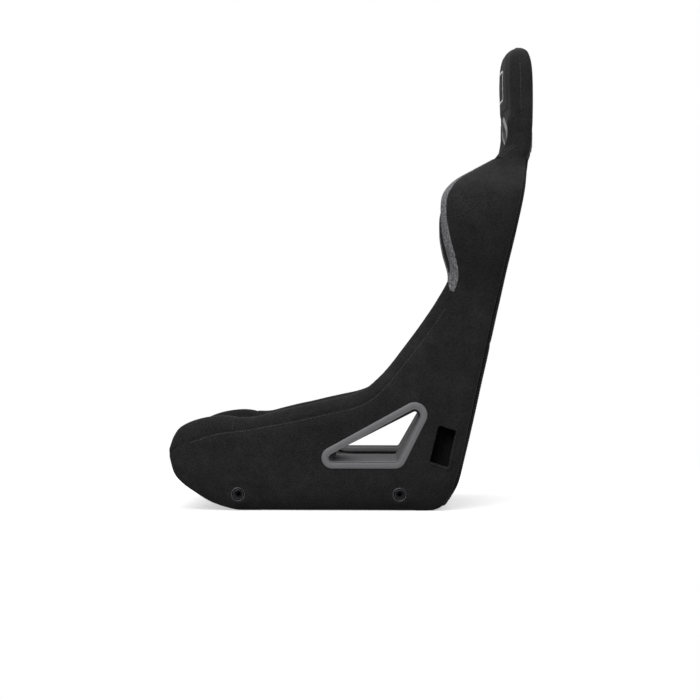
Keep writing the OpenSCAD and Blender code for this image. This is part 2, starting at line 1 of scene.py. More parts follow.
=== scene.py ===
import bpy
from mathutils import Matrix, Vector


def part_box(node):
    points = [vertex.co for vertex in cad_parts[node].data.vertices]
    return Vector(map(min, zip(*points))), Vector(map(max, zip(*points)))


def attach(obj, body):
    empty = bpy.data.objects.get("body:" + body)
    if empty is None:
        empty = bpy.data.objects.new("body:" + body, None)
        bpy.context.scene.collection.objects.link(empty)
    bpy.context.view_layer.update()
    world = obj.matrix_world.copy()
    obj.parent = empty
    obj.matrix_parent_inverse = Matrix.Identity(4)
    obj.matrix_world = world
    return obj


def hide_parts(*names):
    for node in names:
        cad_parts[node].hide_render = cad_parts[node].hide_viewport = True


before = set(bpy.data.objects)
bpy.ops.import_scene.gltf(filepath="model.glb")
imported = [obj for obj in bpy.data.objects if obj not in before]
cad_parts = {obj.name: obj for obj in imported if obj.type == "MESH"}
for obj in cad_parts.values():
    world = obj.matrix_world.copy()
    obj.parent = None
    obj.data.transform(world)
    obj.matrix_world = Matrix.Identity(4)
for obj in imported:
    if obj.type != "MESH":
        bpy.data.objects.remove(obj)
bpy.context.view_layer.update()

import math

import bmesh
import bpy
import numpy as np
from mathutils import Vector, noise
from mathutils.bvhtree import BVHTree

# Racing seat: a tube frame in moulded foam under sewn fabric, with moulded belt bezels.
# Shapes are worked out in millimetres, with y = 0 midway between the side mounts, and
# become metres in the frame of the CAD model when a mesh is made. The left side is made first.
MM = 0.001
ORIGIN_Y = 61.5

# ---------- driving sizes, as in the construction ----------
BODY_HALF = 244
HIP_HALF = 187
BACK_DEPTH = 66
FLANGE_W = 13
FLANGE_T = 3
BELT_SLOT_W = 86
BELT_SLOT_H = 30
MOUNT_Y = 145
MOUNT_Z = 29.5
COVER_AT_MOUNT = 239.2
MOUNT_HOLE_R = 11.2
NECK_Z = 640
PANEL_T = 6.6
PANEL_LAP = 24
PANEL_LOW = 8
CUSHION_GAP = 0.9
CUSHION_BASE = 44.8
TOP_END = NECK_Z - 1


# ---------- curves ----------
def curve_at(points, t, closed=False):
    """Catmull-Rom curve through rows of numbers, at steps t counted in points."""
    p = np.asarray(points, float)
    n = len(p)
    t = np.atleast_1d(np.asarray(t, float))
    i = np.floor(t).astype(int)
    if not closed:
        i = np.clip(i, 0, n - 2)
    s = (t - i)[:, None]
    rows = [(i + k) % n if closed else np.clip(i + k, 0, n - 1) for k in (-1, 0, 1, 2)]
    a, b, c, d = (p[r] for r in rows)
    return 0.5 * (2 * b + (c - a) * s + (2 * a - 5 * b + 4 * c - d) * s**2
                  + (3 * b - a - 3 * c + d) * s**3)


def smooth(points, per_span, closed=False):
    spans = len(points) if closed else len(points) - 1
    t = np.arange(spans * per_span + (0 if closed else 1)) / per_span
    return curve_at(points, t, closed)


def mix(a, b, t):
    return a + (b - a) * t


def clamp(t):
    return np.clip(t, 0, 1)


def rows_of(*parts):
    """Rows of points from their coordinates, each a list or one number."""
    return np.stack(np.broadcast_arrays(*parts), -1)


def run_along(points):
    """Distance of each point from the first, along the line through them."""
    steps = np.linalg.norm(np.diff(points, axis=0), axis=1)
    return np.concatenate([[0], np.cumsum(steps)])


def ease(t):
    """0 to 1 with a soft start and end."""
    t = clamp(t)
    return t * t * (3 - 2 * t)


def four_corners(half_wide, half_high, radius):
    """Corner circles of a rounded rectangle about 0: two places and a radius."""
    return [[sx * (half_wide - radius), sz * (half_high - radius), radius]
            for sx in (-1, 1) for sz in (-1, 1)]


# Rows of z, y.
BACK = smooth([
    [0, 224], [20, 236], [48, 251], [92, 262], [157, 277.5], [244, 297], [331, 316],
    [418, 335], [505, 355.5], [571, 370.2], [614, 376.8], [640, 382.2], [660, 387],
], 12)
# Rows of z, half width.
OUTER = smooth([
    [0, BODY_HALF - 14], [30, BODY_HALF - 5], [75, BODY_HALF], [195, BODY_HALF],
    [260, BODY_HALF - 5], [340, BODY_HALF - 10], [400, BODY_HALF - 4], [450, BODY_HALF + 12],
    [500, BODY_HALF + 23], [545, BODY_HALF + 24], [575, BODY_HALF + 14], [600, 225],
    [618, 196], [630, 181], [640, 172.5], [652, 166],
], 12)
INNER = smooth([
    [0, HIP_HALF], [340, HIP_HALF], [380, HIP_HALF + 3], [430, HIP_HALF + 13],
    [480, HIP_HALF + 26], [530, HIP_HALF + 28], [565, HIP_HALF + 18], [592, HIP_HALF - 8],
    [615, HIP_HALF - 48], [632, HIP_HALF - 80], [700, HIP_HALF - 90],
], 12)
# Bolster stations, nose to neck: front edge y, z; rear edge y, z; draw-in outside, inside;
# then how far behind the front edge the side seam runs.
STATIONS = [
    [-270.5, 112, -269.5, 93, 17.1, 22.2, 9], [-262.5, 134, -261.5, 66, 10.8, 9.1, 24],
    [-248.5, 151, -247.5, 49, 6.8, 2.9, 32], [-217, 164.4, -223, 31, 2.9, 0, 35],
    [-176, 170.3, -190, 12.2, 1.1, 0, 29.5], [-127, 167.2, -146, 0, 0, 0, 20.5],
    [-93, 174.6, -98, 0, 0, 0, 20.8], [-45, 186, -45, 0, 0, 0, 23.3],
    [10, 198.5, 15, 0, 0, 0, 23.5], [58, 208.5, 95, 0, 0, 0, 22],
    [84, 219.5, 150, 0, 0, 0, 21], [102, 234, 204, 0, 0, 0, 20],
    [119.5, 252, 232, 22, 0, 0, 19], [139.5, 277, 255, 88, 0, 0, 18],
    [162.5, 308, 277, 190, 0, 0, 18], [195.5, 354, 298, 285, 0, 0, 18],
    [228, 406, 315, 362, 0, 0, 18], [236.5, 436, 328, 420, 0, 0, 18],
    [225, 483, 341, 476, 0, 0, 15], [218.3, 530, 353, 524, 0, 0, 12],
    [222, 566, 361, 558, 0, 0, 10.5], [243, 594, 366, 584, 0, 0, 9],
    [278, 616.8, 370, 610, 0, 0, 8], [302, 630.8, 373, 628, 0, 0, 7],
    [319, 640, 374.5, 640, 0, 0, 7],
]
INNER_SEAM = 24
WING_SEAM_STATION = 14.8
SEAM_PULL = 2.3
WING_SEAM_PULL = 0.7
NOSE_SEAM_STATION = 4.6
ACCENT_START = 15.8
ACCENT_END = 23.6
# Corner circles of the openings in the side: y, z, radius.
LAP = [[24.8, 95.6, 6.6], [137, 96, 7], [172, 172.5, 10]]
LAP_END = [[32, 103, 3], [134, 104.5, 4.5], [172, 172, 5]]
LAP_OUT_X = BODY_HALF - 0.6
LAP_IN_X = HIP_HALF + 0.6
REAR_SLOT = [[202, 90, 3], [230, 80, 3], [243, 142, 3], [217, 150.5, 3]]
REAR_SLIT = [[217.5, 92, 0.9], [229, 140, 0.9]]
BELT_SLOT_X = 79
BELT_SLOT_Z = 690
SLOT_TILT = math.radians(22)
SLOT_TURN = math.radians(3)
SLOT_FRONT = 14
SLOT_REAR = 383.6
SLOT_SLEEVE = 21
SLOT_MIDDLE_Y = 355
SLOT_CUT_Y = (300, 420)
SHOULDER = four_corners(BELT_SLOT_W / 2, BELT_SLOT_H / 2, 9)
CROTCH = [[-26, 0, 11], [26, 0, 11]]
CROTCH_Y = -128
CROTCH_Z = 137
CROTCH_TILT = math.radians(15)
# Headrest sections: z, front y, rear y, half width.
HEAD = [
    [NECK_Z - 1.2, 317.5, 381.2, 173], [645, 322, 383.6, 169], [652, 326.4, 385.8, 165.4],
    [662, 329.8, 387, 161.4], [683, 333.4, 387.4, 158.6], [712, 334.4, 388.6, 157],
    [752, 333.7, 389.2, 154], [792, 332.6, 388.8, 146], [820, 334, 386.6, 134],
    [840, 338.8, 381.4, 112], [849.6, 345.6, 373.8, 84], [854.6, 352, 367.5, 54],
    [856.4, 356.5, 363, 26],
]
HEAD_FINE = smooth(HEAD, 12)
# Half of the face pad's outline: z, half width.
PAD = [[731, 112], [736, 121], [752, 125], [785, 122], [812, 112], [827, 99], [837, 85], [842, 71]]
# Seat cushion's profile: y, z; then how far the rolled sides move each, as a share.
SEAT = [
    [-197, 18, 0, 0], [-196.5, 31, 0, 0], [-193, 42, 0, 0], [-185, CUSHION_BASE, 0, 0],
    [-90, CUSHION_BASE, 0, 0], [0, CUSHION_BASE, 0, 0], [100, CUSHION_BASE, 0, 0],
    [196, CUSHION_BASE, 0, 0], [203, 48, 0, 0], [205, 58, 0, 0], [205, 74, 0, -0.6],
    [198, 84, 0, -1], [150, 82, 0, -1], [90, 82, 0, -1], [40, 86, 0, -1], [-5, 96, 0, -1],
    [-60, 115, 0, -1], [-130, 138, 0, -1], [-190, 150, 0, -1],
    [-228, 147, 0.4, -1], [-248, 132, 0.9, -0.6], [-258, 106, 1, -0.2], [-254, 74, 1, 0],
    [-238, 48, 1, 0.2], [-214, 27, 0.6, 0.2], [-205, 20, 0.2, 0],
]


def read_from(table):
    return lambda z: np.interp(z, table[:, 0], table[:, 1])


rear_y, outer_half, inner_half = (read_from(table) for table in (BACK, OUTER, INNER))


def outline(circles, out, count):
    """Points round corner circles, pushed out: the circle that reaches furthest each way."""
    points = []
    for k in range(count):
        a = 2 * math.pi * (k + 0.1) / count
        c = max(circles, key=lambda c: c[0] * math.cos(a) + c[1] * math.sin(a) + c[2])
        points.append([c[0] + (c[2] + out) * math.cos(a), c[1] + (c[2] + out) * math.sin(a)])
    return np.array(points)


def evenly(points, count):
    """A closed outline with its points evenly spaced."""
    loop = np.vstack([points, points[:1]])
    run = run_along(loop)
    at = np.arange(count) / count * run[-1]
    return rows_of(*(np.interp(at, run, column) for column in loop.T))


def even_outline(circles, out, count):
    return evenly(outline(circles, out, 720), count)


def upright(p, x):
    """An outline of y, z rows set at x."""
    return rows_of(x, p[:, 0], p[:, 1])


def facing(p, y):
    """An outline of x, z rows set at y."""
    return rows_of(p[:, 0], y, p[:, 1])


def lap_track(out, depth, x, count=200):
    """Outline of the lap belt opening at a share of the way in; the sleeve narrows inwards."""
    return upright(evenly(mix(*(outline(c, out, 720) for c in (LAP, LAP_END)), depth), count), x)


# ---------- meshes ----------
def to_frame(points):
    """Millimetres about the side mounts to metres in the frame."""
    p = np.asarray(points, float).reshape(-1, 3) * MM
    p[:, 1] -= ORIGIN_Y * MM
    return p


def mesh_points(mesh):
    """Points of a mesh in millimetres about the side mounts."""
    co = np.zeros(len(mesh.vertices) * 3)
    mesh.vertices.foreach_get("co", co)
    return co.reshape(-1, 3) / MM + [0, ORIGIN_Y, 0]


def set_points(mesh, points):
    mesh.vertices.foreach_set("co", to_frame(points).ravel())
    mesh.update()


def new_object(name, data):
    obj = bpy.data.objects.new(name, data)
    bpy.context.scene.collection.objects.link(obj)
    return obj


def mesh_object(name, points, faces, material, angle):
    mesh = bpy.data.meshes.new(name)
    mesh.from_pydata(to_frame(points).tolist(), [], faces)
    mesh.update()
    work = bmesh.new()
    work.from_mesh(mesh)
    bmesh.ops.remove_doubles(work, verts=work.verts, dist=2e-6)
    bmesh.ops.dissolve_degenerate(work, edges=work.edges, dist=1e-6)
    bmesh.ops.recalc_face_normals(work, faces=work.faces)
    work.to_mesh(mesh)
    work.free()
    mesh.materials.append(material)
    finish_shading(mesh, angle)
    return new_object(name, mesh)


def finish_shading(mesh, angle):
    mesh.shade_smooth()
    mesh.set_sharp_from_angle(angle=math.radians(angle))


def grid_faces(rows, columns, wrap_rows=False, wrap_columns=False):
    faces = []
    for i in range(rows if wrap_rows else rows - 1):
        for j in range(columns if wrap_columns else columns - 1):
            i2, j2 = (i + 1) % rows, (j + 1) % columns
            faces.append((i * columns + j, i * columns + j2, i2 * columns + j2, i2 * columns + j))
    return faces


def loft(name, rings, material, closed=False, angle=50):
    """Closed skin through rings of equal length, with flat ends or joined end to end."""
    rings = np.asarray(rings, float)
    rows, columns = rings.shape[:2]
    faces = grid_faces(rows, columns, closed, True)
    if not closed:
        faces.append(tuple(range(columns)))
        faces.append(tuple(range((rows - 1) * columns, rows * columns)))
    return mesh_object(name, rings.reshape(-1, 3), faces, material, angle)


def mirrored(obj, name):
    """The other side's twin, with its faces turned the right way."""
    mesh = obj.data.copy()
    mesh.name = name
    co = np.zeros(len(mesh.vertices) * 3)
    mesh.vertices.foreach_get("co", co)
    co[0::3] *= -1
    mesh.vertices.foreach_set("co", co)
    mesh.flip_normals()
    mesh.update()
    return new_object(name, mesh)


def shape_of(obj):
    """The plain mesh that a piece's modifiers make."""
    bpy.context.view_layer.update()
    return bpy.data.meshes.new_from_object(
        obj.evaluated_get(bpy.context.evaluated_depsgraph_get()))


def take_shape(obj):
    """Makes the result of the modifiers the piece's own plain mesh."""
    made = shape_of(obj)
    obj.modifiers.clear()
    obj.vertex_groups.clear()
    obj.data = made


def cut(obj, cutters):
    """Cuts plain closed solids out of a piece."""
    for tool in cutters:
        step = obj.modifiers.new("cut", "BOOLEAN")
        step.operation = "DIFFERENCE"
        step.object = tool
        step.solver = "MANIFOLD"
        take_shape(obj)
    for tool in cutters:
        bpy.data.objects.remove(tool)
    finish_shading(obj.data, 50)


def prism(points_a, points_b):
    return loft("cutter", [points_a, points_b], FABRIC)


def give(obj, slot, *nodes):
    """Rides on the seat and stands for CAD nodes. The slot is not used."""
    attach(obj, "root")
    if nodes:
        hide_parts(*nodes)
    return obj


def give_pair(left, slot, nodes=True):
    """Adds the right twin of a left piece and gives both, which may stand for their nodes."""
    base = left.name.partition("_left")[0]
    both = (left, mirrored(left, base + "_right"))
    for obj, side in zip(both, ("left", "right")):
        give(obj, slot, *([f"{base}_{side}"] if nodes else []))
    return both


# ---------- materials ----------
def linear(hex_value):
    """sRGB hex to linear RGBA."""
    channels = [int(hex_value[k:k + 2], 16) / 255 for k in (1, 3, 5)]
    return tuple(c / 12.92 if c <= 0.04045 else ((c + 0.055) / 1.055) ** 2.4
                 for c in channels) + (1.0,)


def add(tree, kind, links=None, **settings):
    """Adds a node, a shader's unless its kind says so; links maps an input to a value, a hex
    colour, an output or a node, which stands for its first output."""
    made = tree.nodes.new(kind if "Node" in kind else "ShaderNode" + kind)
    for key, value in settings.items():
        setattr(made, key, value)
    for key, value in (links or {}).items():
        if isinstance(value, bpy.types.Node):
            value = value.outputs[0]
        if isinstance(value, bpy.types.NodeSocket):
            tree.links.new(value, made.inputs[key])
        else:
            made.inputs[key].default_value = linear(value) if isinstance(value, str) else value
    return made


class Finish:
    """A material under way: its node tree, its shader and its object coordinates."""

    def __init__(self, name, roughness, **shader):
        self.material = bpy.data.materials.new(name)
        self.material.use_nodes = True
        self.tree = self.material.node_tree
        self.inputs = self.tree.nodes["Principled BSDF"].inputs
        self.inputs["Roughness"].default_value = roughness
        for key, value in shader.items():
            self.inputs[key.replace("_", " ")].default_value = value
        self.place = add(self.tree, "TexCoord").outputs["Object"]

    def texture(self, kind, size, links, bands=None):
        """Output of a texture whose cell or wave is this many millimetres."""
        made = add(self.tree, "Tex" + kind,
                   {"Vector": self.place, "Scale": 1 / (size * MM), **links},
                   **({"bands_direction": bands} if bands else {}))
        return made.outputs["Distance" if kind == "Voronoi" else "Fac"]

    def drive(self, **outputs):
        """Links outputs to inputs of the shader."""
        for key, value in outputs.items():
            self.tree.links.new(value, self.inputs[key.replace("_", " ")])


def knitted_cover():
    # Warp-knitted polyester with a raised grip: matt, close loops, a soft bloom at the edges.
    # Loops are about 1 mm on the roll and drawn at 2.6 mm, uneven, so that they show.
    cover = Finish("knitted_polyester", 0.97, Sheen_Weight=0.04, Sheen_Roughness=0.5,
                   Specular_IOR_Level=0.06)
    tree = cover.tree
    loops = cover.texture("Voronoi", 2.6, {"Randomness": 0.85})
    slubs = cover.texture("Noise", 26, {"Detail": 4.0, "Roughness": 0.6})
    wide = cover.texture("Noise", 95, {"Detail": 2.0})
    tone = add(tree, "Math", {0: slubs, 1: wide}, operation="MULTIPLY")
    base = add(tree, "Mix", {"Factor": tone, "A": "#1d1d1e", "B": "#3d3d3e"}, data_type="RGBA")
    ramp = add(tree, "MapRange", {
        "Value": loops, "From Min": 0.15, "From Max": 0.75, "To Min": 1.12, "To Max": 0.62})
    shaded = add(tree, "VectorMath", {0: base.outputs["Result"], "Scale": ramp},
                 operation="SCALE")
    close = add(tree, "Bump", {"Height": loops, "Strength": 0.5, "Distance": 0.6 * MM},
                invert=True)
    soft = add(tree, "Bump", {
        "Height": slubs, "Strength": 0.25, "Distance": 2 * MM, "Normal": close})
    cover.drive(Base_Color=shaded.outputs["Vector"], Normal=soft.outputs["Normal"])
    return cover.material


def spacer_mesh():
    # Grey three-dimensional spacer mesh: round open cells about 3 mm apart over darker core yarn.
    mesh = Finish("grey_spacer_mesh", 0.94, Sheen_Weight=0.05, Sheen_Roughness=0.4,
                  Specular_IOR_Level=0.1)
    tree = mesh.tree
    yarn = mesh.texture("Noise", 4.2, {"Detail": 5.0, "Roughness": 0.75})
    yarn = add(tree, "MapRange", {"Value": yarn, "From Min": 0.36, "From Max": 0.64})
    cells = mesh.texture("Voronoi", 3.1, {"Randomness": 0.12})
    cells = add(tree, "MapRange", {"Value": cells, "From Min": 0.2, "From Max": 0.42})
    uneven = add(tree, "Math", {0: cells, 1: yarn}, operation="MULTIPLY")
    base = add(tree, "Mix", {"Factor": uneven, "A": "#3f3f41", "B": "#8e8e90"}, data_type="RGBA")
    bump = add(tree, "Bump", {"Height": cells, "Strength": 0.7, "Distance": 0.8 * MM})
    mesh.drive(Base_Color=base.outputs["Result"], Normal=bump.outputs["Normal"])
    return mesh.material


def plain_finish(name, roughness, textures, dark, light, bump=None, rough=None, **shader):
    """The first texture mixes the two colours; the last one gives the bump, by strength and
    depth in millimetres, and spreads the roughness between two limits."""
    made = Finish(name, roughness, **shader)
    outputs = [made.texture(*texture) for texture in textures]
    tone, relief = outputs[0], outputs[-1]
    base = add(made.tree, "Mix", {"Factor": tone, "A": dark, "B": light}, data_type="RGBA")
    made.drive(Base_Color=base.outputs["Result"])
    if rough:
        spread = add(made.tree, "MapRange", {
            "Value": relief, "To Min": rough[0], "To Max": rough[1]})
        made.drive(Roughness=spread.outputs["Result"])
    if bump:
        raised = add(made.tree, "Bump", {
            "Height": relief, "Strength": bump[0], "Distance": bump[1] * MM})
        made.drive(Normal=raised.outputs["Normal"])
    return made.material


def moulded_nylon(name, dark, light, gloss, shine):
    # Injection-moulded glass-filled nylon: even grey with a fine spark-eroded grain.
    return plain_finish(
        name, 0.42, [("Noise", 40, {"Detail": 3.0}), ("Noise", 0.9, {"Detail": 2.0})],
        dark, light, (0.22, 0.3), (shine, shine + 0.18), Specular_IOR_Level=gloss, IOR=1.53)


FABRIC = knitted_cover()
MESH = spacer_mesh()
NYLON = moulded_nylon("moulded_grey_nylon", "#525254", "#5f5f61", 0.45, 0.34)
# The sleeve through the foam is the rim's nylon made darker: painted shade for the shadow inside
# the opening.
NYLON_SLEEVE_SHADED = moulded_nylon("sleeve_nylon_painted_shade", "#424244", "#4c4c4e", 0.28, 0.58)
# Welded steel tube in satin black powder coat, with a light orange peel.
STEEL = plain_finish(
    "powder_coated_steel", 0.42, [("Noise", 18, {"Detail": 5.0}), ("Noise", 2.2, {"Detail": 2.0})],
    "#121213", "#1e1e20", (0.15, 0.4), IOR=1.5)
# Turned and pressed steel under black oxide: dark, with a low sheen and rubbed edges.
OXIDE = plain_finish(
    "black_oxide_steel", 0.34, [("Noise", 5, {"Detail": 6.0, "Roughness": 0.7})],
    "#2c2c2e", "#49494b", rough=(0.2, 0.42), Metallic=1.0)
# Bonded polyester thread: twisted two-ply with a low gloss.
THREAD = plain_finish(
    "bonded_thread", 0.6, [("Wave", 2.4, {"Distortion": 2.0})],
    "#2b2b2c", "#444446", Sheen_Weight=0.1, Specular_IOR_Level=0.35)
# Satin-stitched rayon: dense parallel threads about 0.4 mm wide, drawn at 0.9 mm.
WHITE = plain_finish(
    "white_rayon_stitch", 0.5, [("Wave", 5.6, {"Distortion": 0.6, "Detail": 1.0}, "DIAGONAL")],
    "#b9b9bb", "#e6e6e8", (0.5, 0.3), Sheen_Weight=0.2, Specular_IOR_Level=0.4)
# Woven rubber-cored webbing: cross ribs about 2 mm apart.
WEBBING = plain_finish(
    "elastic_webbing", 0.85, [("Wave", 12.5, {}, "Y")],
    "#2e2a25", "#5a534a", (0.5, 0.6), Specular_IOR_Level=0.2)
# Spun-bonded polypropylene under the seat: pressed dots on a thin black felt.
LINING = plain_finish(
    "spunbond_lining", 0.9, [("Noise", 7, {"Detail": 6.0}), ("Voronoi", 4.0, {"Randomness": 0.05})],
    "#101011", "#232324", (0.4, 0.5), Specular_IOR_Level=0.15)


# ---------- bolsters ----------
def section(edge):
    """Outline of a bolster's section: share of the depth, share of the thickness."""
    return [
        [0, 0.52], [0.3 * edge, 0.82], [edge, 0.975], [0.38, 1], [0.66, 1], [1 - edge, 0.985],
        [1 - 0.25 * edge, 0.87], [1, 0.66], [1, 0], [0.55, 0], [1.3 * edge, 0.02],
        [0.3 * edge, 0.22],
    ]


class Ring:
    """One section of a bolster, measured along its own outline from the front edge:
    positive over the outside, negative over the inside."""

    def __init__(self, station):
        fy, fz, ry, rz, out_in, in_in, seam = station
        self.front = np.array([fy, fz])
        self.way = np.array([ry - fy, rz - fz])
        self.length = np.linalg.norm(self.way)
        edge = min(0.27, 30 / self.length)
        share = clamp(smooth(section(edge), 12, closed=True))
        z = np.maximum(0, fz + self.way[1] * share[:, 0])
        x = mix(inner_half(z) + in_in, outer_half(z) - out_in, share[:, 1])
        flat = rows_of(share[:, 0] * self.length, x)
        self.loop = np.vstack([flat, flat[:1]])
        self.run = run_along(self.loop)
        self.outer_seam = self.run_at(seam)
        self.inner_seam = -self.run_at(-min(INNER_SEAM, 0.4 * self.length))

    def run_at(self, depth):
        """Distance round the section at a depth behind the front edge; negative is inside."""
        half = len(self.loop) // 2
        if depth >= 0:
            return np.interp(depth, self.loop[:half, 0], self.run[:half])
        back = self.loop[half:][::-1]
        run = self.run[-1] - self.run[half:][::-1]
        rising = back[:, 0] <= 0.5 * self.length
        return -np.interp(-depth, back[rising, 0], run[rising])

    def flat_at(self, s):
        s = np.mod(s, self.run[-1])
        return rows_of(*(np.interp(s, self.run, column) for column in self.loop.T))

    def normal_at(self, s, reach=2.0):
        v = self.flat_at(s + reach) - self.flat_at(s - reach)
        n = rows_of(-v[..., 1], v[..., 0])
        return n / np.maximum(np.linalg.norm(n, axis=-1, keepdims=True), 1e-9)

    def lift(self, flat):
        u = flat[..., :1] / self.length
        yz = self.front + self.way * u
        return np.concatenate([flat[..., 1:], yz[..., :1], np.maximum(0, yz[..., 1:])], -1)

    def point(self, s, out=0.0):
        flat = self.flat_at(s) + self.normal_at(s) * np.asarray(out)[..., None]
        return self.lift(flat)


def graded(a, b, count, steps=(0, 0.8, 1.8, 3.2, 5.2, 8)):
    """Places from a to b, close together at both ends, where the seams are."""
    squeeze = min(1.0, (b - a) / (3.2 * steps[-1]))
    near = np.array(steps) * squeeze
    middle = np.linspace(a + near[-1], b - near[-1], count - 2 * len(near) + 2)[1:-1]
    return np.concatenate([a + near, middle, (b - near)[::-1]])


def ripple(run, lengths=(17, 41), shift=0.0):
    """Uneven pull of a thread along a seam."""
    return np.sin(2 * np.pi * run / lengths[0] + 1.3 + shift) * np.sin(
        2 * np.pi * run / lengths[1] + 0.7 + 2 * shift)


def unevenness(points, size, amount, seed=0.0):
    """Slow hand-sewn unevenness of a cover, by place."""
    return np.array([amount * noise.noise(Vector(p) / size + Vector((seed, seed, seed)))
                     for p in points.reshape(-1, 3)]).reshape(points.shape[:-1])


def station_rows():
    """Places along the bolster, with closer rows at the short seam across the nose."""
    even = np.linspace(0, len(STATIONS) - 1, (len(STATIONS) - 1) * 9 + 1)
    near = NOSE_SEAM_STATION + np.array([-0.2, -0.13, -0.08, -0.045, -0.02, 0, 0.02, 0.045,
                                         0.08, 0.13, 0.2])
    keep = even[np.abs(even - NOSE_SEAM_STATION) > 0.24]
    return np.sort(np.concatenate([keep, near]))


ROWS = station_rows()
RINGS = [Ring(row) for row in curve_at(STATIONS, ROWS)]
ROW_RUN = run_along([ring.front for ring in RINGS])
NOSE_SEAM_RUN = float(np.interp(NOSE_SEAM_STATION, ROWS, ROW_RUN))


def flat_at_mounts(skin):
    """The cover lies flat against the eyelet round each side mount."""
    for y in (-MOUNT_Y, MOUNT_Y):
        reach = np.hypot(skin[:, 1] - y, skin[:, 2] - MOUNT_Z)
        share = ease((26 - reach) / 12) * (skin[:, 0] > BODY_HALF - 22)
        skin[:, 0] = mix(skin[:, 0], COVER_AT_MOUNT, share)
    return skin


def bolster_mesh():
    top, rest = 30, 104  # points over the front between the seams, and round the rest
    rows = []
    for ring, along, place in zip(RINGS, ROW_RUN, ROWS):
        a = graded(-ring.inner_seam, ring.outer_seam, top)
        b = graded(ring.outer_seam, ring.run[-1] - ring.inner_seam, rest)[1:-1]
        s = np.concatenate([a, b])
        to_seam = np.minimum(np.abs(s - ring.outer_seam), np.abs(
            np.where(s < 0, s, s - ring.run[-1]) + ring.inner_seam))
        deep = mix(SEAM_PULL, WING_SEAM_PULL, clamp((place - WING_SEAM_STATION) / 0.8))
        pull = -deep * np.exp(-to_seam / 5.5) * (1 + 0.35 * ripple(along))
        gather = 0.55 * np.exp(-((to_seam - 5) / 5) ** 2) * ripple(along, (11, 29), 0.5)
        short = np.zeros_like(s)
        short[:top] = -1.6 * math.exp(-abs(along - NOSE_SEAM_RUN) / 3.0)
        points = ring.point(s)
        x, _, z = points.T
        swell = unevenness(points, 85, 1.0) + unevenness(points, 28, 0.35, 7.0)
        foot = clamp(z / 14) * clamp((NECK_Z - z) / 10)
        inside = np.where(x < inner_half(z) + 6, 0.25, 1.0)
        skin = ring.point(s, (pull + gather + short + swell * inside) * foot)
        rows.append(flat_at_mounts(skin))
    return loft("side_bolster_left", rows, FABRIC)


def bolster_cutters():
    """Solids of the openings: the lap belt's, the rear slot, the slit inside it, the mounts."""
    far = BODY_HALF + 20
    tools = [prism(*(lap_track(3.4, 0, x, 120) for x in (HIP_HALF - 20, far)))]
    a = np.arange(48) / 48 * 2 * math.pi
    hole = rows_of(np.cos(a), np.sin(a)) * MOUNT_HOLE_R
    for p, start, stop in (
            (even_outline(REAR_SLOT, 0, 60), HIP_HALF + 3, far),
            (even_outline(REAR_SLIT, 0, 60), HIP_HALF - 20, HIP_HALF + 8),
            (hole + [-MOUNT_Y, MOUNT_Z], BODY_HALF - 50, far),
            (hole + [MOUNT_Y, MOUNT_Z], BODY_HALF - 50, far)):
        tools.append(prism(upright(p, start), upright(p, stop)))
    return tools


def side_bolsters():
    left = bolster_mesh()
    cut(left, bolster_cutters())
    for obj in give_pair(left, "cover_fabric"):
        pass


# ---------- grey leading edge of the wings ----------
# Borders of the strip: [station, depth behind the front edge], negative on the inside.
ACCENT_OUT = [[15.8, 17.4], [15.83, 18.6], [15.9, 19.4], [16, 19.2], [16.25, 17.4], [16.6, 15],
              [17, 13], [17.5, 13], [18, 12.4], [18.5, 11.2], [19, 10.4], [19.7, 9.8], [20, 9.8],
              [20.4, 9.4], [20.8, 7], [21.2, 4.8], [21.6, 4], [22.2, 3.6], [23, 3.3], [23.6, 3]]
ACCENT_IN = [[15.8, 16.6], [15.83, 14.4], [15.9, 10.2], [16, 5.4], [16.12, 2.2], [16.3, -0.4],
             [16.8, -2], [18.2, -1.5], [18.8, 0.8], [20.5, 1.2], [21.2, 2.4], [21.6, 2.4],
             [22.2, 2.1], [23, 1.9], [23.6, 1.8]]


def accent_edges():
    """Rows that the strip runs over, and its two borders as distances round the section."""
    use = [k for k, t in enumerate(ROWS) if ACCENT_START <= t <= ACCENT_END]
    borders = [np.interp(ROWS[use], *np.array(table).T) for table in (ACCENT_OUT, ACCENT_IN)]
    return [use] + [eased([RINGS[k].run_at(depth) for k, depth in zip(use, border)])
                    for border in borders]


def eased(values, rounds=6):
    """Takes the corners out of a line of values, whose ends stay."""
    v = np.array(values, float)
    for _ in range(rounds):
        v[1:-1] = (v[:-2] + 2 * v[1:-1] + v[2:]) / 4
    return v


def wing_accent():
    across = np.linspace(0, 1, 25)
    lift_up = 0.3 + 1.3 * (1 - np.exp(-np.minimum(across, 1 - across) * 24 / 0.9))
    rings = []
    for k, a, b in zip(*accent_edges()):
        s = mix(a, b, across)
        rings.append(np.vstack([RINGS[k].point(s, lift_up), RINGS[k].point(s[::-1], -0.6)]))
    give_pair(loft("wing_accent_left", rings, MESH, angle=60), "mesh_fabric")


# ---------- swelling of the sewn panels ----------
SIM_FRAMES = 20
VOXEL = 5
SWELL_CAP = 9
SEAM_HOLD = 3  # how near to a seam, and to a cushion's side, the cloth is held
SIDE_HOLD = 7
CLOTH = {
    "vertex_group_mass": "held", "quality": 4, "mass": 0.3, "tension_stiffness": 12,
    "compression_stiffness": 12, "shear_stiffness": 6, "bending_stiffness": 0.4,
    "use_pressure": True, "uniform_pressure_force": 4,
}


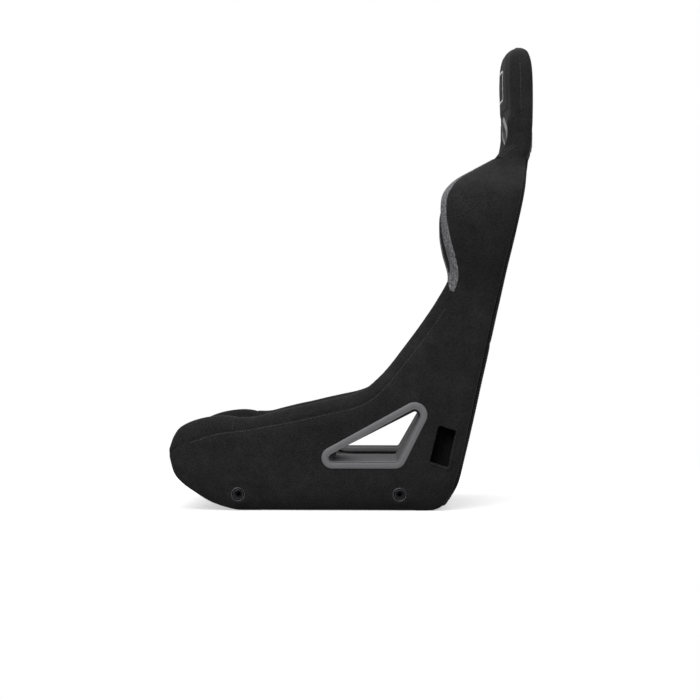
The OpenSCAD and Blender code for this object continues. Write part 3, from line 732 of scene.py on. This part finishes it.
def swollen(obj, held):
    """Blows a sewn cover up over its foam. held(points) is 1 where a seam, the frame or a
    neighbour holds the cloth; no point moves further than SWELL_CAP."""
    remesh = obj.modifiers.new("remesh", "REMESH")
    remesh.mode = "VOXEL"
    remesh.voxel_size = VOXEL * MM
    take_shape(obj)
    rest = mesh_points(obj.data)
    pins = obj.vertex_groups.new(name="held")
    weights = clamp(held(rest))
    for k in np.flatnonzero(weights > 0.02):
        pins.add([int(k)], float(weights[k]), "REPLACE")
    cloth = obj.modifiers.new("cloth", "CLOTH")
    for key, value in CLOTH.items():
        setattr(cloth.settings, key, value)
    cloth.settings.effector_weights.gravity = 0
    cloth.point_cache.frame_start = 1
    cloth.point_cache.frame_end = SIM_FRAMES
    for frame_number in range(1, SIM_FRAMES + 1):
        bpy.context.scene.frame_set(frame_number)
    take_shape(obj)
    bpy.context.scene.frame_set(1)
    move = mesh_points(obj.data) - rest
    far = np.linalg.norm(move, axis=1, keepdims=True)
    move *= SWELL_CAP * np.tanh(far / SWELL_CAP) / np.maximum(far, 1e-6)
    set_points(obj.data, rest + move * (1 - weights[:, None]))
    finer = obj.modifiers.new("finer", "SUBSURF")
    finer.levels = finer.render_levels = 1
    take_shape(obj)
    finish_shading(obj.data, 60)


def near_line(distance, half_width):
    """1 within a seam's half width, falling to 0 over as much again."""
    return clamp(2 - np.abs(distance) / half_width)


# ---------- seat cushion ----------
SEAT_HALF = HIP_HALF - CUSHION_GAP
CUSHION_SEAM = 0.5  # its place as a share of the half width
SEAM_REACH = 6
CROSS_SEAM_Y = -66


def cushion_columns():
    """Shares of the half width, closer at the two long seams and at the sides."""
    near = np.array([-8, -5.2, -3.2, -1.8, -0.8, 0, 0.8, 1.8, 3.2, 5.2, 8]) / SEAT_HALF
    edge = 1 - np.array([0, 1, 2.5, 4.5, 7, 10, 14, 19]) / SEAT_HALF
    places = [0.0, *(CUSHION_SEAM + near), *edge]
    places += [t for t in np.linspace(0, 1, 33)
               if abs(t - CUSHION_SEAM) > 10 / SEAT_HALF and t < edge[-1]]
    right = np.unique(np.round(places, 5))
    return np.concatenate([-right[::-1], right[1:]])


def roll(t):
    """How far a cushion rolls over at its sides."""
    return 16 * np.abs(t) ** 14


def seat_held(p):
    x, y, z = p.T
    to_side = np.abs(x)
    along = near_line(to_side - CUSHION_SEAM * SEAT_HALF, SEAM_HOLD)
    across = near_line(y - CROSS_SEAM_Y, SEAM_HOLD) * (to_side < CUSHION_SEAM * SEAT_HALF)
    edge = near_line(SEAT_HALF - to_side, SIDE_HOLD)
    rear = clamp((y - 150) / 25)
    low = clamp((76 - z) / 20)
    under = (z < CUSHION_BASE + 8) & (y > -205)
    return np.max([along, across, edge, rear, low, under], axis=0)


def seat_cushion():
    """Two long seams and a cross seam between them; the front rolls down over the tube."""
    base_y, base_z, rolled_y, rolled_z = smooth(SEAT, 9, closed=True).T
    obj = loft("seat_cushion", [
        rows_of(t * SEAT_HALF, base_y + roll(t) * rolled_y, base_z + roll(t) * rolled_z)
        for t in cushion_columns()], FABRIC)
    swollen(obj, seat_held)
    p = mesh_points(obj.data)
    x, y, z = p.T
    top = clamp((z - 62) / 25) * clamp((196 - y) / 12)
    front = clamp((-196 - y) / 30)
    beyond = np.abs(x) - CUSHION_SEAM * SEAT_HALF
    pull = 5.2 * np.exp(-np.abs(beyond) / SEAM_REACH) * (1 + 0.25 * ripple(y + z, (19, 47)))
    inside = 1 / (1 + np.exp(beyond / 3))
    cross = 4.6 * np.exp(-np.abs(y - CROSS_SEAM_Y) / SEAM_REACH) * inside * (1 - front)
    pull = (pull + cross) * np.maximum(top, front * clamp((z - 26) / 12))
    z -= pull * (1 - front)
    y += pull * front
    z += unevenness(p, 70, 1.4, 3.0) * top
    set_points(obj.data, p)
    hole = even_outline(CROTCH, 5.5, 64).T
    cut(obj, [prism(*(rows_of(hole[0], hole[1] + CROTCH_Y, level) for level in (30, 200)))])
    give(obj, "cover_fabric", "seat_cushion")
    return obj


# ---------- back cushion ----------
BACK_SEAMS = (268, 468)
BACK_LOW = 90
BACK_BOARD = 39.3  # from the rear line to the cushion's rear


def back_levels():
    near = np.array([-12, -8, -5.2, -3.2, -1.8, -0.8, 0, 0.8, 1.8, 3.2, 5.2, 8, 12])
    plain = [z for z in np.linspace(BACK_LOW, TOP_END, 120)
             if all(abs(z - s) > 14 for s in BACK_SEAMS)]
    ends = [90, 90.6, 91.6, 93, 95, 98, 102, 632, 635, 637, 638.2, 639]
    return np.unique(np.round([*plain, *(s + d for s in BACK_SEAMS for d in near), *ends], 2))


def back_held(p):
    x, y, z = p.T
    half = inner_half(z) - CUSHION_GAP
    along = near_line(np.abs(x) - CUSHION_SEAM * half, SEAM_HOLD)
    levels = np.max([near_line(z - seam, SEAM_HOLD) for seam in BACK_SEAMS], axis=0)
    edge = near_line(half - np.abs(x), SIDE_HOLD)
    ends = clamp(np.maximum(118 - z, z - 606) / 20)
    rear = y > rear_y(z) - BACK_DEPTH + 20
    return np.max([along, levels, edge, ends, rear], axis=0)


def back_cushion():
    """Two upright seams and two level ones; the sides roll back to the bolsters."""
    columns = cushion_columns()
    rings = []
    for z in back_levels():
        half = inner_half(z) - CUSHION_GAP
        rounding = 10 * math.exp(-min(z - BACK_LOW, TOP_END - z) / 4)
        back = rear_y(z) - BACK_BOARD + max(z - 560, 0) * 0.2
        front = rear_y(z) - BACK_DEPTH + rounding
        y = front + roll(columns) * 0.55 - 7 * np.abs(columns) ** 3 - 1.0
        rings.append(np.vstack([rows_of(columns * half, np.minimum(y, back - 6), z),
                                rows_of(np.linspace(1, -1, 9) * half, back, z)]))
    obj = loft("back_cushion", rings, FABRIC)
    swollen(obj, back_held)
    p = mesh_points(obj.data)
    x, y, z = p.T
    face = (y < rear_y(z) - BACK_DEPTH + 18) * clamp(np.minimum(z - BACK_LOW, TOP_END - z) / 12)
    seam = np.abs(np.abs(x) - CUSHION_SEAM * (inner_half(z) - CUSHION_GAP))
    level = np.min([np.abs(z - seam_z) for seam_z in BACK_SEAMS], axis=0)
    pull = 5.0 * np.exp(-seam / SEAM_REACH) * (1 + 0.25 * ripple(z, (19, 47)))
    pull += 5.0 * np.exp(-level / SEAM_REACH) * (1 + 0.2 * ripple(x, (23, 51)))
    y += (np.minimum(pull, 6.5) + unevenness(p, 75, 1.6, 11.0)) * face
    set_points(obj.data, p)
    give(obj, "cover_fabric", "back_cushion")
    return obj


# ---------- headrest ----------
HEAD_SEAM_DEPTH = 0.6
DISH_TOP = 729  # the pad starts above this
FRONT_SIDE_Y = 350  # the headrest's front lies before this and its rear behind the next
REAR_SIDE_Y = 380
NECK_SEAM = [[326, 642.5], [331, 647.5], [338, 654], [346, 660.5], [350, 663.5]]
PAD_MIDDLE = np.array([0.0, 788.0])
PAD_FLOOR_Y = 346.2
PAD_PLAY = 0.4 / 100  # how much wider than the pad its place is


def head_bow(z):
    """How far the face of the headrest falls back towards its sides."""
    return 1 + 6 * ease((z - NECK_Z - 2) / 30) + 7 * ease((z - 706) / 24)


def dished(points):
    """Presses the cover in round the bezels of the shoulder slots, front and rear."""
    x, z = np.abs(points[:, 0]) - BELT_SLOT_X, points[:, 2] - BELT_SLOT_Z
    u = (x * math.cos(SLOT_TILT) - z * math.sin(SLOT_TILT)) / (BELT_SLOT_W / 2 + FLANGE_W)
    v = (z * math.cos(SLOT_TILT) + x * math.sin(SLOT_TILT)) / (BELT_SLOT_H / 2 + FLANGE_W)
    near = 1 - ease(((u**4 + v**4) ** 0.25 - 0.92) / 0.4)
    near *= clamp((DISH_TOP - points[:, 2]) / 8)
    y = points[:, 1]
    y += near * np.where(y < FRONT_SIDE_Y, 5.2 + 0.09 * np.maximum(-z, 0), 0)
    y -= near * 3.8 * (y > REAR_SIDE_Y)
    return points


def head_ring(h):
    z, y0, y1, w = h
    bow = float(head_bow(z))
    middle = mix(y0, y1, 0.6)
    points = [[t * w, min(y0 + bow * t * t, middle)]
              for t in (-0.9, -0.6, -0.3, 0, 0.3, 0.6, 0.9)]
    firm = min(max((z - NECK_Z) / 36, 0), 1)
    deep = y1 - y0
    side = [[0.985 * w, min(y0 + 6 + bow, mix(y0, y1, 0.5))],
            [w, min(middle + mix(-2, 4, firm), mix(y0, y1, 0.68))],
            [mix(0.95, 0.985, firm) * w, max(y1 - mix(12, 7, firm), y0 + 0.8 * deep)],
            [mix(0.86, 0.94, firm) * w, max(y1 - mix(5.5, 1.5, firm), y0 + 0.9 * deep)]]
    points += side + [[t * w, y1] for t in (0.5, 0, -0.5)]
    points += [[-x, y] for x, y in side[::-1]]
    return np.array(points)


def head_levels():
    rows = curve_at(HEAD, np.linspace(0, len(HEAD) - 1, (len(HEAD) - 1) * 14 + 1))
    return rows[rows[:, 0] > NECK_Z - 1.25]


def turn_slot(points, tilt=SLOT_TILT, turn=0.0, y_mid=0.0):
    """Places a shoulder slot's own outline [x, y, z] in the seat."""
    x, y, z = points.T
    x, z = x * math.cos(tilt) + z * math.sin(tilt), z * math.cos(tilt) - x * math.sin(tilt)
    x, y = x * math.cos(turn) - y * math.sin(turn), x * math.sin(turn) + y * math.cos(turn)
    return rows_of(x + BELT_SLOT_X, y + y_mid, z + BELT_SLOT_Z)


def slot_cutter(side):
    hole = even_outline(SHOULDER, 2.4, 72)
    return prism(*(turn_slot(facing(hole, y)) * [side, 1, 1] for y in SLOT_CUT_Y))


def headrest_body():
    rings = []
    for h in head_levels():
        points = np.insert(smooth(head_ring(h), 8, closed=True), 2, h[0], 1)
        x, y, _ = points.T
        way = np.sign(x)
        side_y = mix(h[1], h[2], HEAD_SEAM_DEPTH) + 2
        faint = clamp((h[0] - 690) / 40) * (np.abs(x) > 0.93 * h[3])
        x -= way * 0.9 * faint * np.exp(-np.abs(y - side_y) / 2.5)
        x += way * unevenness(points, 70, 1.0, 21.0) * clamp(np.abs(x) / 60 - 0.3)
        rings.append(dished(points))
    obj = loft("headrest_body", rings, FABRIC)
    edge = pad_edge()
    edge += (edge - PAD_MIDDLE) * PAD_PLAY
    cut(obj, [slot_cutter(1), slot_cutter(-1),
              prism(facing(edge, 300), facing(edge, PAD_FLOOR_Y + 0.3))])
    give(obj, "cover_fabric", "headrest_body")
    return obj


def pad_edge():
    """Outline of the face pad from the front: x, z."""
    right = smooth(PAD, 10)[:, ::-1]
    edge = evenly(np.vstack([right, right[::-1] * [-1, 1]]), 200)
    for _ in range(3):
        edge = (np.roll(edge, 1, 0) + 2 * edge + np.roll(edge, -1, 0)) / 4
    return edge


def head_face(x, z):
    """y of the headrest's front face."""
    half = np.interp(z, HEAD_FINE[:, 0], HEAD_FINE[:, 3])
    return np.interp(z, HEAD_FINE[:, 0], HEAD_FINE[:, 1]) + head_bow(z) * (x / half) ** 2


def headrest_pad():
    edge = pad_edge()
    rings = []
    shares = [0.06, 0.16, 0.3, 0.45, 0.6, 0.72, 0.82, 0.89, 0.935, 0.962, 0.98, 0.99, 0.996, 1.0]
    for share in shares:
        flat = PAD_MIDDLE + (edge - PAD_MIDDLE) * share
        points = facing(flat, head_face(*flat.T) - 1.3 + 3.4 * share**28)
        points[:, 1] += unevenness(points, 45, 0.5, 31.0) * (1 - share**8)
        rings.append(points)
    rings.append(facing(flat, PAD_FLOOR_Y))
    obj = loft("headrest_pad", rings, FABRIC, angle=60)
    give(obj, "cover_fabric", "headrest_pad")
    return obj


# ---------- rear cover ----------
PANEL_SEAM_Z = 300


def back_panel():
    levels = [*np.linspace(PANEL_LOW, TOP_END, 100), 8.6, 9.8, 12, 635, 637, 638.4]
    levels += [PANEL_SEAM_Z + d for d in (-8, -5, -3, -1.5, -0.7, 0, 0.7, 1.5, 3, 5, 8)]
    near = np.array([0, 0.004, 0.012, 0.024, 0.04, 0.06])
    columns = np.unique(np.round([*np.linspace(-1, 1, 41), *(1 - near), *(near - 1)], 5))
    rings = []
    for z in np.unique(np.round(levels, 2)):
        half = inner_half(z) + PANEL_LAP
        edge_mm = (1 - np.abs(columns)) * half
        end_mm = min(z - PANEL_LOW, TOP_END - z)
        seam = 1.6 * math.exp(-abs(z - PANEL_SEAM_Z) / 4) * (1 + 0.2 * ripple(columns * half))
        y = rear_y(z) - 4.8 * np.exp(-edge_mm / 4.5) - 1.6 * math.exp(-end_mm / 3) - seam
        row = rows_of(columns * half, y, z)
        row[:, 1] += unevenness(row, 90, 0.9, 41.0) - 0.5
        rings.append(np.vstack([row, rows_of(np.linspace(1, -1, 5) * half,
                                             rear_y(z) - PANEL_T, z)]))
    obj = loft("back_panel", rings, FABRIC)
    give(obj, "cover_fabric", "back_panel")
    return obj


# ---------- moulded bezels ----------
def bezel_rows(wide, sleeve_out):
    """Section of a bezel: offset from the clear opening, height over its seat."""
    lip = smooth([[0.0, 1.4], [0.1, 3.3], [0.75, 4.15], [1.5, 3.9], [2.1, FLANGE_T - 0.2],
                  [3, FLANGE_T]], 3)
    rim = smooth([[wide - 2.2, FLANGE_T], [wide - 0.7, FLANGE_T - 0.5], [wide, FLANGE_T - 1.8]], 4)
    return [*lip.tolist(), [wide * 0.5, FLANGE_T + 0.25], *rim.tolist(), [wide, 0],
            [sleeve_out, 0]]


def bezel(name, tracks, sleeve):
    """Skin through the tracks of a bezel's section, whose last ones are the wall inside."""
    made = loft(name, np.swapaxes(tracks, 0, 1), NYLON, True, 35)
    # The wall inside takes the darker nylon, which is painted shade.
    made.data.materials.append(NYLON_SLEEVE_SHADED)
    for k, face in enumerate(made.data.polygons):
        if k % len(tracks) >= len(tracks) - sleeve:
            face.material_index = 1
    return made


def lap_bezels():
    for name, way, flat, end in (("outer", 1, LAP_OUT_X, 0.0), ("inner", -1, LAP_IN_X, 1.0)):
        half_way = mix(LAP_OUT_X, LAP_IN_X, 0.5) + way * 0.5
        tracks = [lap_track(out, end, flat + way * up) for out, up in bezel_rows(FLANGE_W, 2.6)]
        tracks += [lap_track(2.4, 0.5, half_way), lap_track(0, 0.5, half_way)]
        tracks += [lap_track(0, mix(0.5, end, k / 3), mix(half_way, flat, k / 3)) for k in (1, 2)]
        give_pair(bezel(f"lap_bezel_{name}_left", tracks, 4), "bezel_plastic")


def plain_bezel(name, circles, wide, face, way, deep, place):
    """A bezel round an outline, made flat at y = face and then put in its place."""
    rows = [[out, face + way * up] for out, up in bezel_rows(wide, 2.0)]
    rows += [[2.0, face - way * deep], [0, face - way * deep], [0, face - way * deep * 0.5]]
    return bezel(name, [place(facing(even_outline(circles, out, 140), y)) for out, y in rows], 3)


def shoulder_bezels():
    front = plain_bezel("shoulder_bezel_front_left", SHOULDER, FLANGE_W - 5, -SLOT_FRONT, -1,
                        SLOT_SLEEVE, lambda p: turn_slot(p, turn=SLOT_TURN, y_mid=SLOT_MIDDLE_Y))
    rear = plain_bezel("shoulder_bezel_rear_left", SHOULDER, FLANGE_W - 3, SLOT_REAR, 1,
                       SLOT_SLEEVE, turn_slot)
    for left in (front, rear):
        give_pair(left, "bezel_plastic")


def crotch_bezels():
    def on_cushion(p):
        x, down, along = p.T
        c, s = math.cos(CROTCH_TILT), math.sin(CROTCH_TILT)
        return rows_of(x, CROTCH_Y + along * c - down * s, CROTCH_Z - down * c - along * s)

    def on_board(p):
        return rows_of(p[:, 0], CROTCH_Y - p[:, 2], p[:, 1])

    top = plain_bezel("crotch_bezel_top", CROTCH, 8, 0, -1, 12, on_cushion)
    low = plain_bezel("crotch_bezel_bottom", CROTCH, 8, 4.4, 1, 3.6, on_board)
    give(top, "bezel_plastic", "crotch_bezel_top")
    give(low, "bezel_plastic", "crotch_bezel_bottom")


def rear_slot_welts():
    rows = smooth([[0.2, -3], [0.2, 0.3], [0.8, 1.2], [2, 1.7], [3.4, 1.2], [4.2, 0],
                   [4.2, -1.2]], 4)
    tracks = [upright(even_outline(REAR_SLOT, out, 120), BODY_HALF - 1.2 + up)
              for out, up in rows]
    left = loft("rear_slot_welt_left", np.swapaxes(tracks, 0, 1), FABRIC, True, 60)
    give_pair(left, "cover_fabric")


# ---------- side mounts ----------
def turned_pair(name, profile, count=72):
    """A turned shape at both mounts of the left side; profile rows are radius, x."""
    points, faces = [], []
    for y in (-MOUNT_Y, MOUNT_Y):
        start = len(points)
        for a in np.arange(count) / count * 2 * math.pi:
            points += [[x, y + r * math.cos(a), MOUNT_Z + r * math.sin(a)] for r, x in profile]
        faces += [tuple(start + k for k in face)
                  for face in grid_faces(count, len(profile), True, True)]
    return mesh_object(name, points, faces, OXIDE, 35)


def side_mounts():
    low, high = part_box("mount_bosses_left")
    start, face = low[0] / MM, high[0] / MM
    bush = [[9, start], [9, face - 0.5], [8.6, face - 0.1], [7.9, face], [4.3, face - 4.2]]
    turns = np.arange(face - 5, start + 1.5, -0.625)
    bush += [[4.05 if k % 2 else 3.4, x] for k, x in enumerate(turns)]
    bush += [[3.4, start]]
    lip = [[10.5, face - 5.5], [10.5, face + 0.4], [10.8, face + 1.2], [11.5, face + 1.6],
           [12.2, face + 1.3], [12.6, face + 0.5], [12.4, face - 0.1], [11.3, face - 0.3],
           [11.1, face - 5.5]]
    give_pair(turned_pair("mount_bosses_left", bush), "frame_steel")
    give_pair(turned_pair("mount_eyelets_left", lip), "eyelet_metal")


# ---------- piping, stitches and the plain badge ----------
def cord_rings(path, radius, sides=12):
    """Rings of a round cord along a path of points."""
    angle = np.arange(sides)[:, None] / sides * 2 * math.pi
    normal = None
    rings = []
    for k, middle in enumerate(path):
        way = path[min(k + 1, len(path) - 1)] - path[max(k - 1, 0)]
        way /= np.linalg.norm(way)
        if normal is None:
            normal = np.cross(way, [1.0, 0.3, 0.1])
        normal = normal - way * np.dot(normal, way)
        normal /= np.linalg.norm(normal)
        side = np.cross(way, normal)
        rings.append(middle + radius * (np.cos(angle) * normal + np.sin(angle) * side))
    return rings


def rear_piping():
    z = np.concatenate([np.linspace(14, 600, 150), np.linspace(603, 637, 16)])
    path = rows_of(inner_half(z) + PANEL_LAP + 0.2, rear_y(z) - 6.2, z)
    left = loft("rear_piping_left", cord_rings(path, 2.2), FABRIC, angle=70)
    give_pair(left, "cover_fabric", nodes=False)


STITCH_STEP = 4.6
STITCH_LENGTH = 3.4
STITCH_THICK = 0.95
STITCH_OFF = 5.5  # from a seam to its rows of stitches


def stitch_tree():
    """Places a small thread capsule at every step of the curves that it is given."""
    tree = bpy.data.node_groups.new("stitch_rows", "GeometryNodeTree")
    for name, way in (("Seams", "INPUT"), ("Stitches", "OUTPUT")):
        tree.interface.new_socket(name, in_out=way, socket_type="NodeSocketGeometry")
    steps = add(tree, "GeometryNodeCurveToPoints", {
        "Curve": add(tree, "NodeGroupInput"), "Length": STITCH_STEP * MM}, mode="LENGTH")
    turn = add(tree, "FunctionNodeAlignRotationToVector",
               {"Vector": steps.outputs["Tangent"]}, axis="X")
    bead = add(tree, "GeometryNodeMeshUVSphere", {"Segments": 8, "Rings": 6, "Radius": 0.5})
    rows = add(tree, "GeometryNodeInstanceOnPoints", {
        "Points": steps, "Instance": bead, "Rotation": turn,
        "Scale": (STITCH_LENGTH * MM, STITCH_THICK * MM, STITCH_THICK * MM)})
    real = add(tree, "GeometryNodeRealizeInstances", {"Geometry": rows})
    dressed = add(tree, "GeometryNodeSetMaterial", {"Geometry": real, "Material": THREAD})
    add(tree, "NodeGroupOutput", {"Stitches": dressed})
    return tree


STITCHES = stitch_tree()


def stitched(name, paths):
    """Rows of stitches along paths, as one plain mesh."""
    curve = bpy.data.curves.new(name + "_path", "CURVE")
    curve.dimensions = "3D"
    for path in paths:
        points = to_frame(path)
        spline = curve.splines.new("POLY")
        spline.points.add(len(points) - 1)
        spline.points.foreach_set("co", np.c_[points, np.ones(len(points))].ravel())
    holder = new_object(name + "_path", curve)
    holder.modifiers.new("stitches", "NODES").node_group = STITCHES
    mesh = shape_of(holder)
    bpy.data.objects.remove(holder)
    mesh.name = name
    mesh.shade_smooth()
    return new_object(name, mesh)


def seam_row(run_of, shift, start, stop):
    """A row of stitches that follows a bolster seam at a distance from it."""
    return np.array([ring.point(run_of(ring) + shift, -0.6)
                     for ring, row in zip(RINGS, ROWS) if start <= row <= stop])


def bolster_stitches():
    paths = [
        seam_row(lambda r: r.outer_seam, 3.4, 2.6, 15.4),
        seam_row(lambda r: -r.inner_seam, -3.4, 1.5, ACCENT_START - 0.2),
        seam_row(lambda r: -r.inner_seam, 3.4, 1.5, ACCENT_START - 0.2),
    ]
    ring_before = RINGS[int(np.argmin(np.abs(ROWS - NOSE_SEAM_STATION))) - 4]
    s = np.linspace(-ring_before.inner_seam + 3, ring_before.outer_seam - 3, 30)
    paths.append(ring_before.point(s, -0.2))
    give_pair(stitched("bolster_stitches_left", paths), "cover_fabric", nodes=False)


def surface_of(obj):
    return BVHTree.FromObject(obj, bpy.context.evaluated_depsgraph_get())


# Places clear of the seat, where points start that are dropped on its covers.
ABOVE_Z = 200
BEFORE_Y = 100
BEHIND_Y = 450
BESIDE_X = 300


def dropped(tree, way, points, lift_up=0.1):
    """Points moved along a direction until they meet a surface, in millimetres."""
    found = []
    for p in to_frame(points):
        hit, normal, _, _ = tree.ray_cast(Vector(p) - Vector(way) * 0.3, Vector(way))
        if hit is not None:
            found.append(np.array(hit) / MM + np.array(normal) * lift_up + [0, ORIGIN_Y, 0])
    return np.array(found)


def cushion_stitches(seat, back):
    down, rear = surface_of(seat), surface_of(back)
    z = np.linspace(104, 622, 130)
    paths = []
    for side in (-1, 1):
        for shift in (-STITCH_OFF, STITCH_OFF):
            x = side * CUSHION_SEAM * SEAT_HALF + shift
            run = rows_of(x, np.linspace(-236, 190, 110), ABOVE_Z)
            paths.append(dropped(down, (0, 0, -1), run))
            x = side * CUSHION_SEAM * (inner_half(z) - CUSHION_GAP) + shift
            paths.append(dropped(rear, (0, 1, 0), rows_of(x, BEFORE_Y, z)))
    for shift in (-STITCH_OFF, STITCH_OFF):
        x = np.linspace(-0.48, 0.48, 40) * SEAT_HALF
        paths.append(dropped(down, (0, 0, -1), rows_of(x, CROSS_SEAM_Y + shift, ABOVE_Z)))
        for level in BACK_SEAMS:
            half = inner_half(level) - 12
            x = np.linspace(-half, half, 90)
            paths.append(dropped(rear, (0, 1, 0), rows_of(x, BEFORE_Y, level + shift)))
    give(stitched("cushion_stitches", paths), "cover_fabric")


def panel_stitches(panel, head):
    back, skin = surface_of(panel), surface_of(head)
    z = np.linspace(20, 628, 150)
    x = inner_half(z) + PANEL_LAP - 11
    paths = [dropped(back, (0, -1, 0), rows_of(side * x, BEHIND_Y, z)) for side in (-1, 1)]
    for level in (PANEL_SEAM_Z - 4, PANEL_SEAM_Z + 4):
        half = inner_half(level) + 8
        run = rows_of(np.linspace(-half, half, 110), BEHIND_Y, level)
        paths.append(dropped(back, (0, -1, 0), run))
    z, front, rear, _ = HEAD_FINE[(HEAD_FINE[:, 0] > 720) & (HEAD_FINE[:, 0] < 815)].T
    neck_y, neck_z = smooth(NECK_SEAM, 14).T
    for side in (-1, 1):
        line = rows_of(side * BESIDE_X, mix(front, rear, HEAD_SEAM_DEPTH) - 1.4, z)
        paths.append(dropped(skin, (-side, 0, 0), line, 0.0))
        for shift in (0, 3.4):
            line = rows_of(side * BESIDE_X, neck_y + shift, neck_z - 0.8 * shift)
            paths.append(dropped(skin, (-side, 0, 0), line))
    give(stitched("panel_stitches", paths), "cover_fabric")


BADGE_Z = 782


def headrest_badge(pad):
    """Plain embroidered frame, with nothing in it."""
    skin = surface_of(pad)
    corners = four_corners(71, 27, 9)
    rings = []
    for out, up in ((-2, 0.1), (-1.6, 0.9), (0, 1.25), (1.6, 0.9), (2, 0.1), (0, -0.4)):
        line = facing(even_outline(corners, out, 220) + [0, BADGE_Z], 200)
        rings.append(dropped(skin, (0, 1, 0), line, up))
    obj = loft("headrest_frame_embroidery", np.swapaxes(rings, 0, 1), WHITE, True, 70)
    give(obj, "cover_fabric")


# ---------- finishes of the CAD pieces that show as they are ----------
def finish_nodes():
    for name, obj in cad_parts.items():
        if not obj.hide_render:
            special = LINING if name == "under_panel" else STEEL
            obj.data.materials.clear()
            obj.data.materials.append(WEBBING if name.endswith("straps") else special)


# ---------- stage, light and camera ----------
CAMERA_DISTANCE = 4.135
CAMERA_Y = (196.4 - ORIGIN_Y) * MM
CAMERA_Z = 0.285
CAMERA_YAW = math.radians(2.061)
CAMERA_LENS = 111.9
CAMERA_RISE = 0.0038


def aim(obj, target):
    way = Vector(target) - obj.location
    obj.rotation_euler = way.to_track_quat("-Z", "Y").to_euler()


def seen(tree):
    """1 for what is seen straight, by reflection or through glass, and 0 for lighting."""
    path = add(tree, "LightPath").outputs
    direct = add(tree, "Math", {
        0: path["Is Camera Ray"], 1: path["Is Glossy Ray"]}, operation="MAXIMUM")
    return add(tree, "Math", {
        0: direct, 1: path["Is Transmission Ray"]}, operation="MAXIMUM")


def empty_tree(owner):
    owner.use_nodes = True
    owner.node_tree.nodes.clear()
    return owner.node_tree


FLOOR_REACH = 30
FLOOR_Z = -0.0006
PURE_WHITE = (1, 1, 1, 1)


def stage():
    """A pale floor that fades to white, and a white world; both light the seat more dimly."""
    mesh = bpy.data.meshes.new("floor")
    mesh.from_pydata([(x * FLOOR_REACH, y * FLOOR_REACH, FLOOR_Z)
                      for x, y in ((-1, -1), (1, -1), (1, 1), (-1, 1))], [], [(0, 1, 2, 3)])
    floor = new_object("floor", mesh)
    material = bpy.data.materials.new("pale_floor")
    tree = empty_tree(material)
    lit = add(tree, "BsdfDiffuse", {"Color": "#e9e9e9"})
    glow = add(tree, "Emission", {"Color": PURE_WHITE, "Strength": 0.5})
    both = add(tree, "AddShader", {0: lit, 1: glow})
    place = add(tree, "TexCoord").outputs["Object"]
    reach = add(tree, "VectorMath", {0: place}, operation="LENGTH")
    away = add(tree, "MapRange", {
        "Value": reach.outputs["Value"], "From Min": 0.75, "From Max": 1.5},
        interpolation_type="SMOOTHSTEP")
    white = add(tree, "Emission", {"Color": PURE_WHITE, "Strength": 1.0})
    faded = add(tree, "MixShader", {0: away, 1: both, 2: white})
    plain = add(tree, "BsdfDiffuse", {"Color": "#767676"})
    shown = add(tree, "MixShader", {0: seen(tree), 1: plain, 2: faded})
    add(tree, "OutputMaterial", {"Surface": shown})
    mesh.materials.append(material)

    world = bpy.data.worlds.new("studio")
    bpy.context.scene.world = world
    tree = empty_tree(world)
    dim = add(tree, "Background", {"Color": PURE_WHITE, "Strength": 0.36})
    bright = add(tree, "Background", {"Color": PURE_WHITE, "Strength": 1.0})
    shown = add(tree, "MixShader", {0: seen(tree), 1: dim, 2: bright})
    add(tree, "OutputWorld", {"Surface": shown})


def lights():
    """Square area lamps: name, place, size, power."""
    for name, place, size, power in (
            ("key", (3.5, -1.2, 2.5), 3.0, 130), ("top", (0.3, 0.2, 3.8), 3.0, 40),
            ("edge", (2.0, -3.4, 1.2), 0.7, 8), ("fill", (2.2, 3.4, 1.9), 2.4, 26),
            ("rear", (-3.0, 0.8, 2.4), 2.4, 40)):
        data = bpy.data.lights.new(name, "AREA")
        data.shape = "SQUARE"
        data.size = size
        data.energy = power
        lamp = new_object(name, data)
        lamp.location = place
        aim(lamp, (0, 0.05, 0.35))


def camera():
    data = bpy.data.cameras.new("camera")
    data.lens = CAMERA_LENS
    data.sensor_width = 36
    data.clip_start, data.clip_end = 0.1, 200
    obj = new_object("camera", data)
    obj.location = (CAMERA_DISTANCE, CAMERA_Y, CAMERA_Z)
    aim(obj, (0, CAMERA_Y - CAMERA_DISTANCE * math.tan(CAMERA_YAW), CAMERA_Z + CAMERA_RISE))
    bpy.context.scene.camera = obj


def main():
    camera()
    stage()
    lights()
    side_bolsters()
    wing_accent()
    seat = seat_cushion()
    back = back_cushion()
    head = headrest_body()
    pad = headrest_pad()
    panel = back_panel()
    lap_bezels()
    shoulder_bezels()
    crotch_bezels()
    rear_slot_welts()
    side_mounts()
    rear_piping()
    bolster_stitches()
    cushion_stitches(seat, back)
    panel_stitches(panel, head)
    headrest_badge(pad)
    finish_nodes()
    bpy.context.scene.view_settings.view_transform = "Standard"


main()
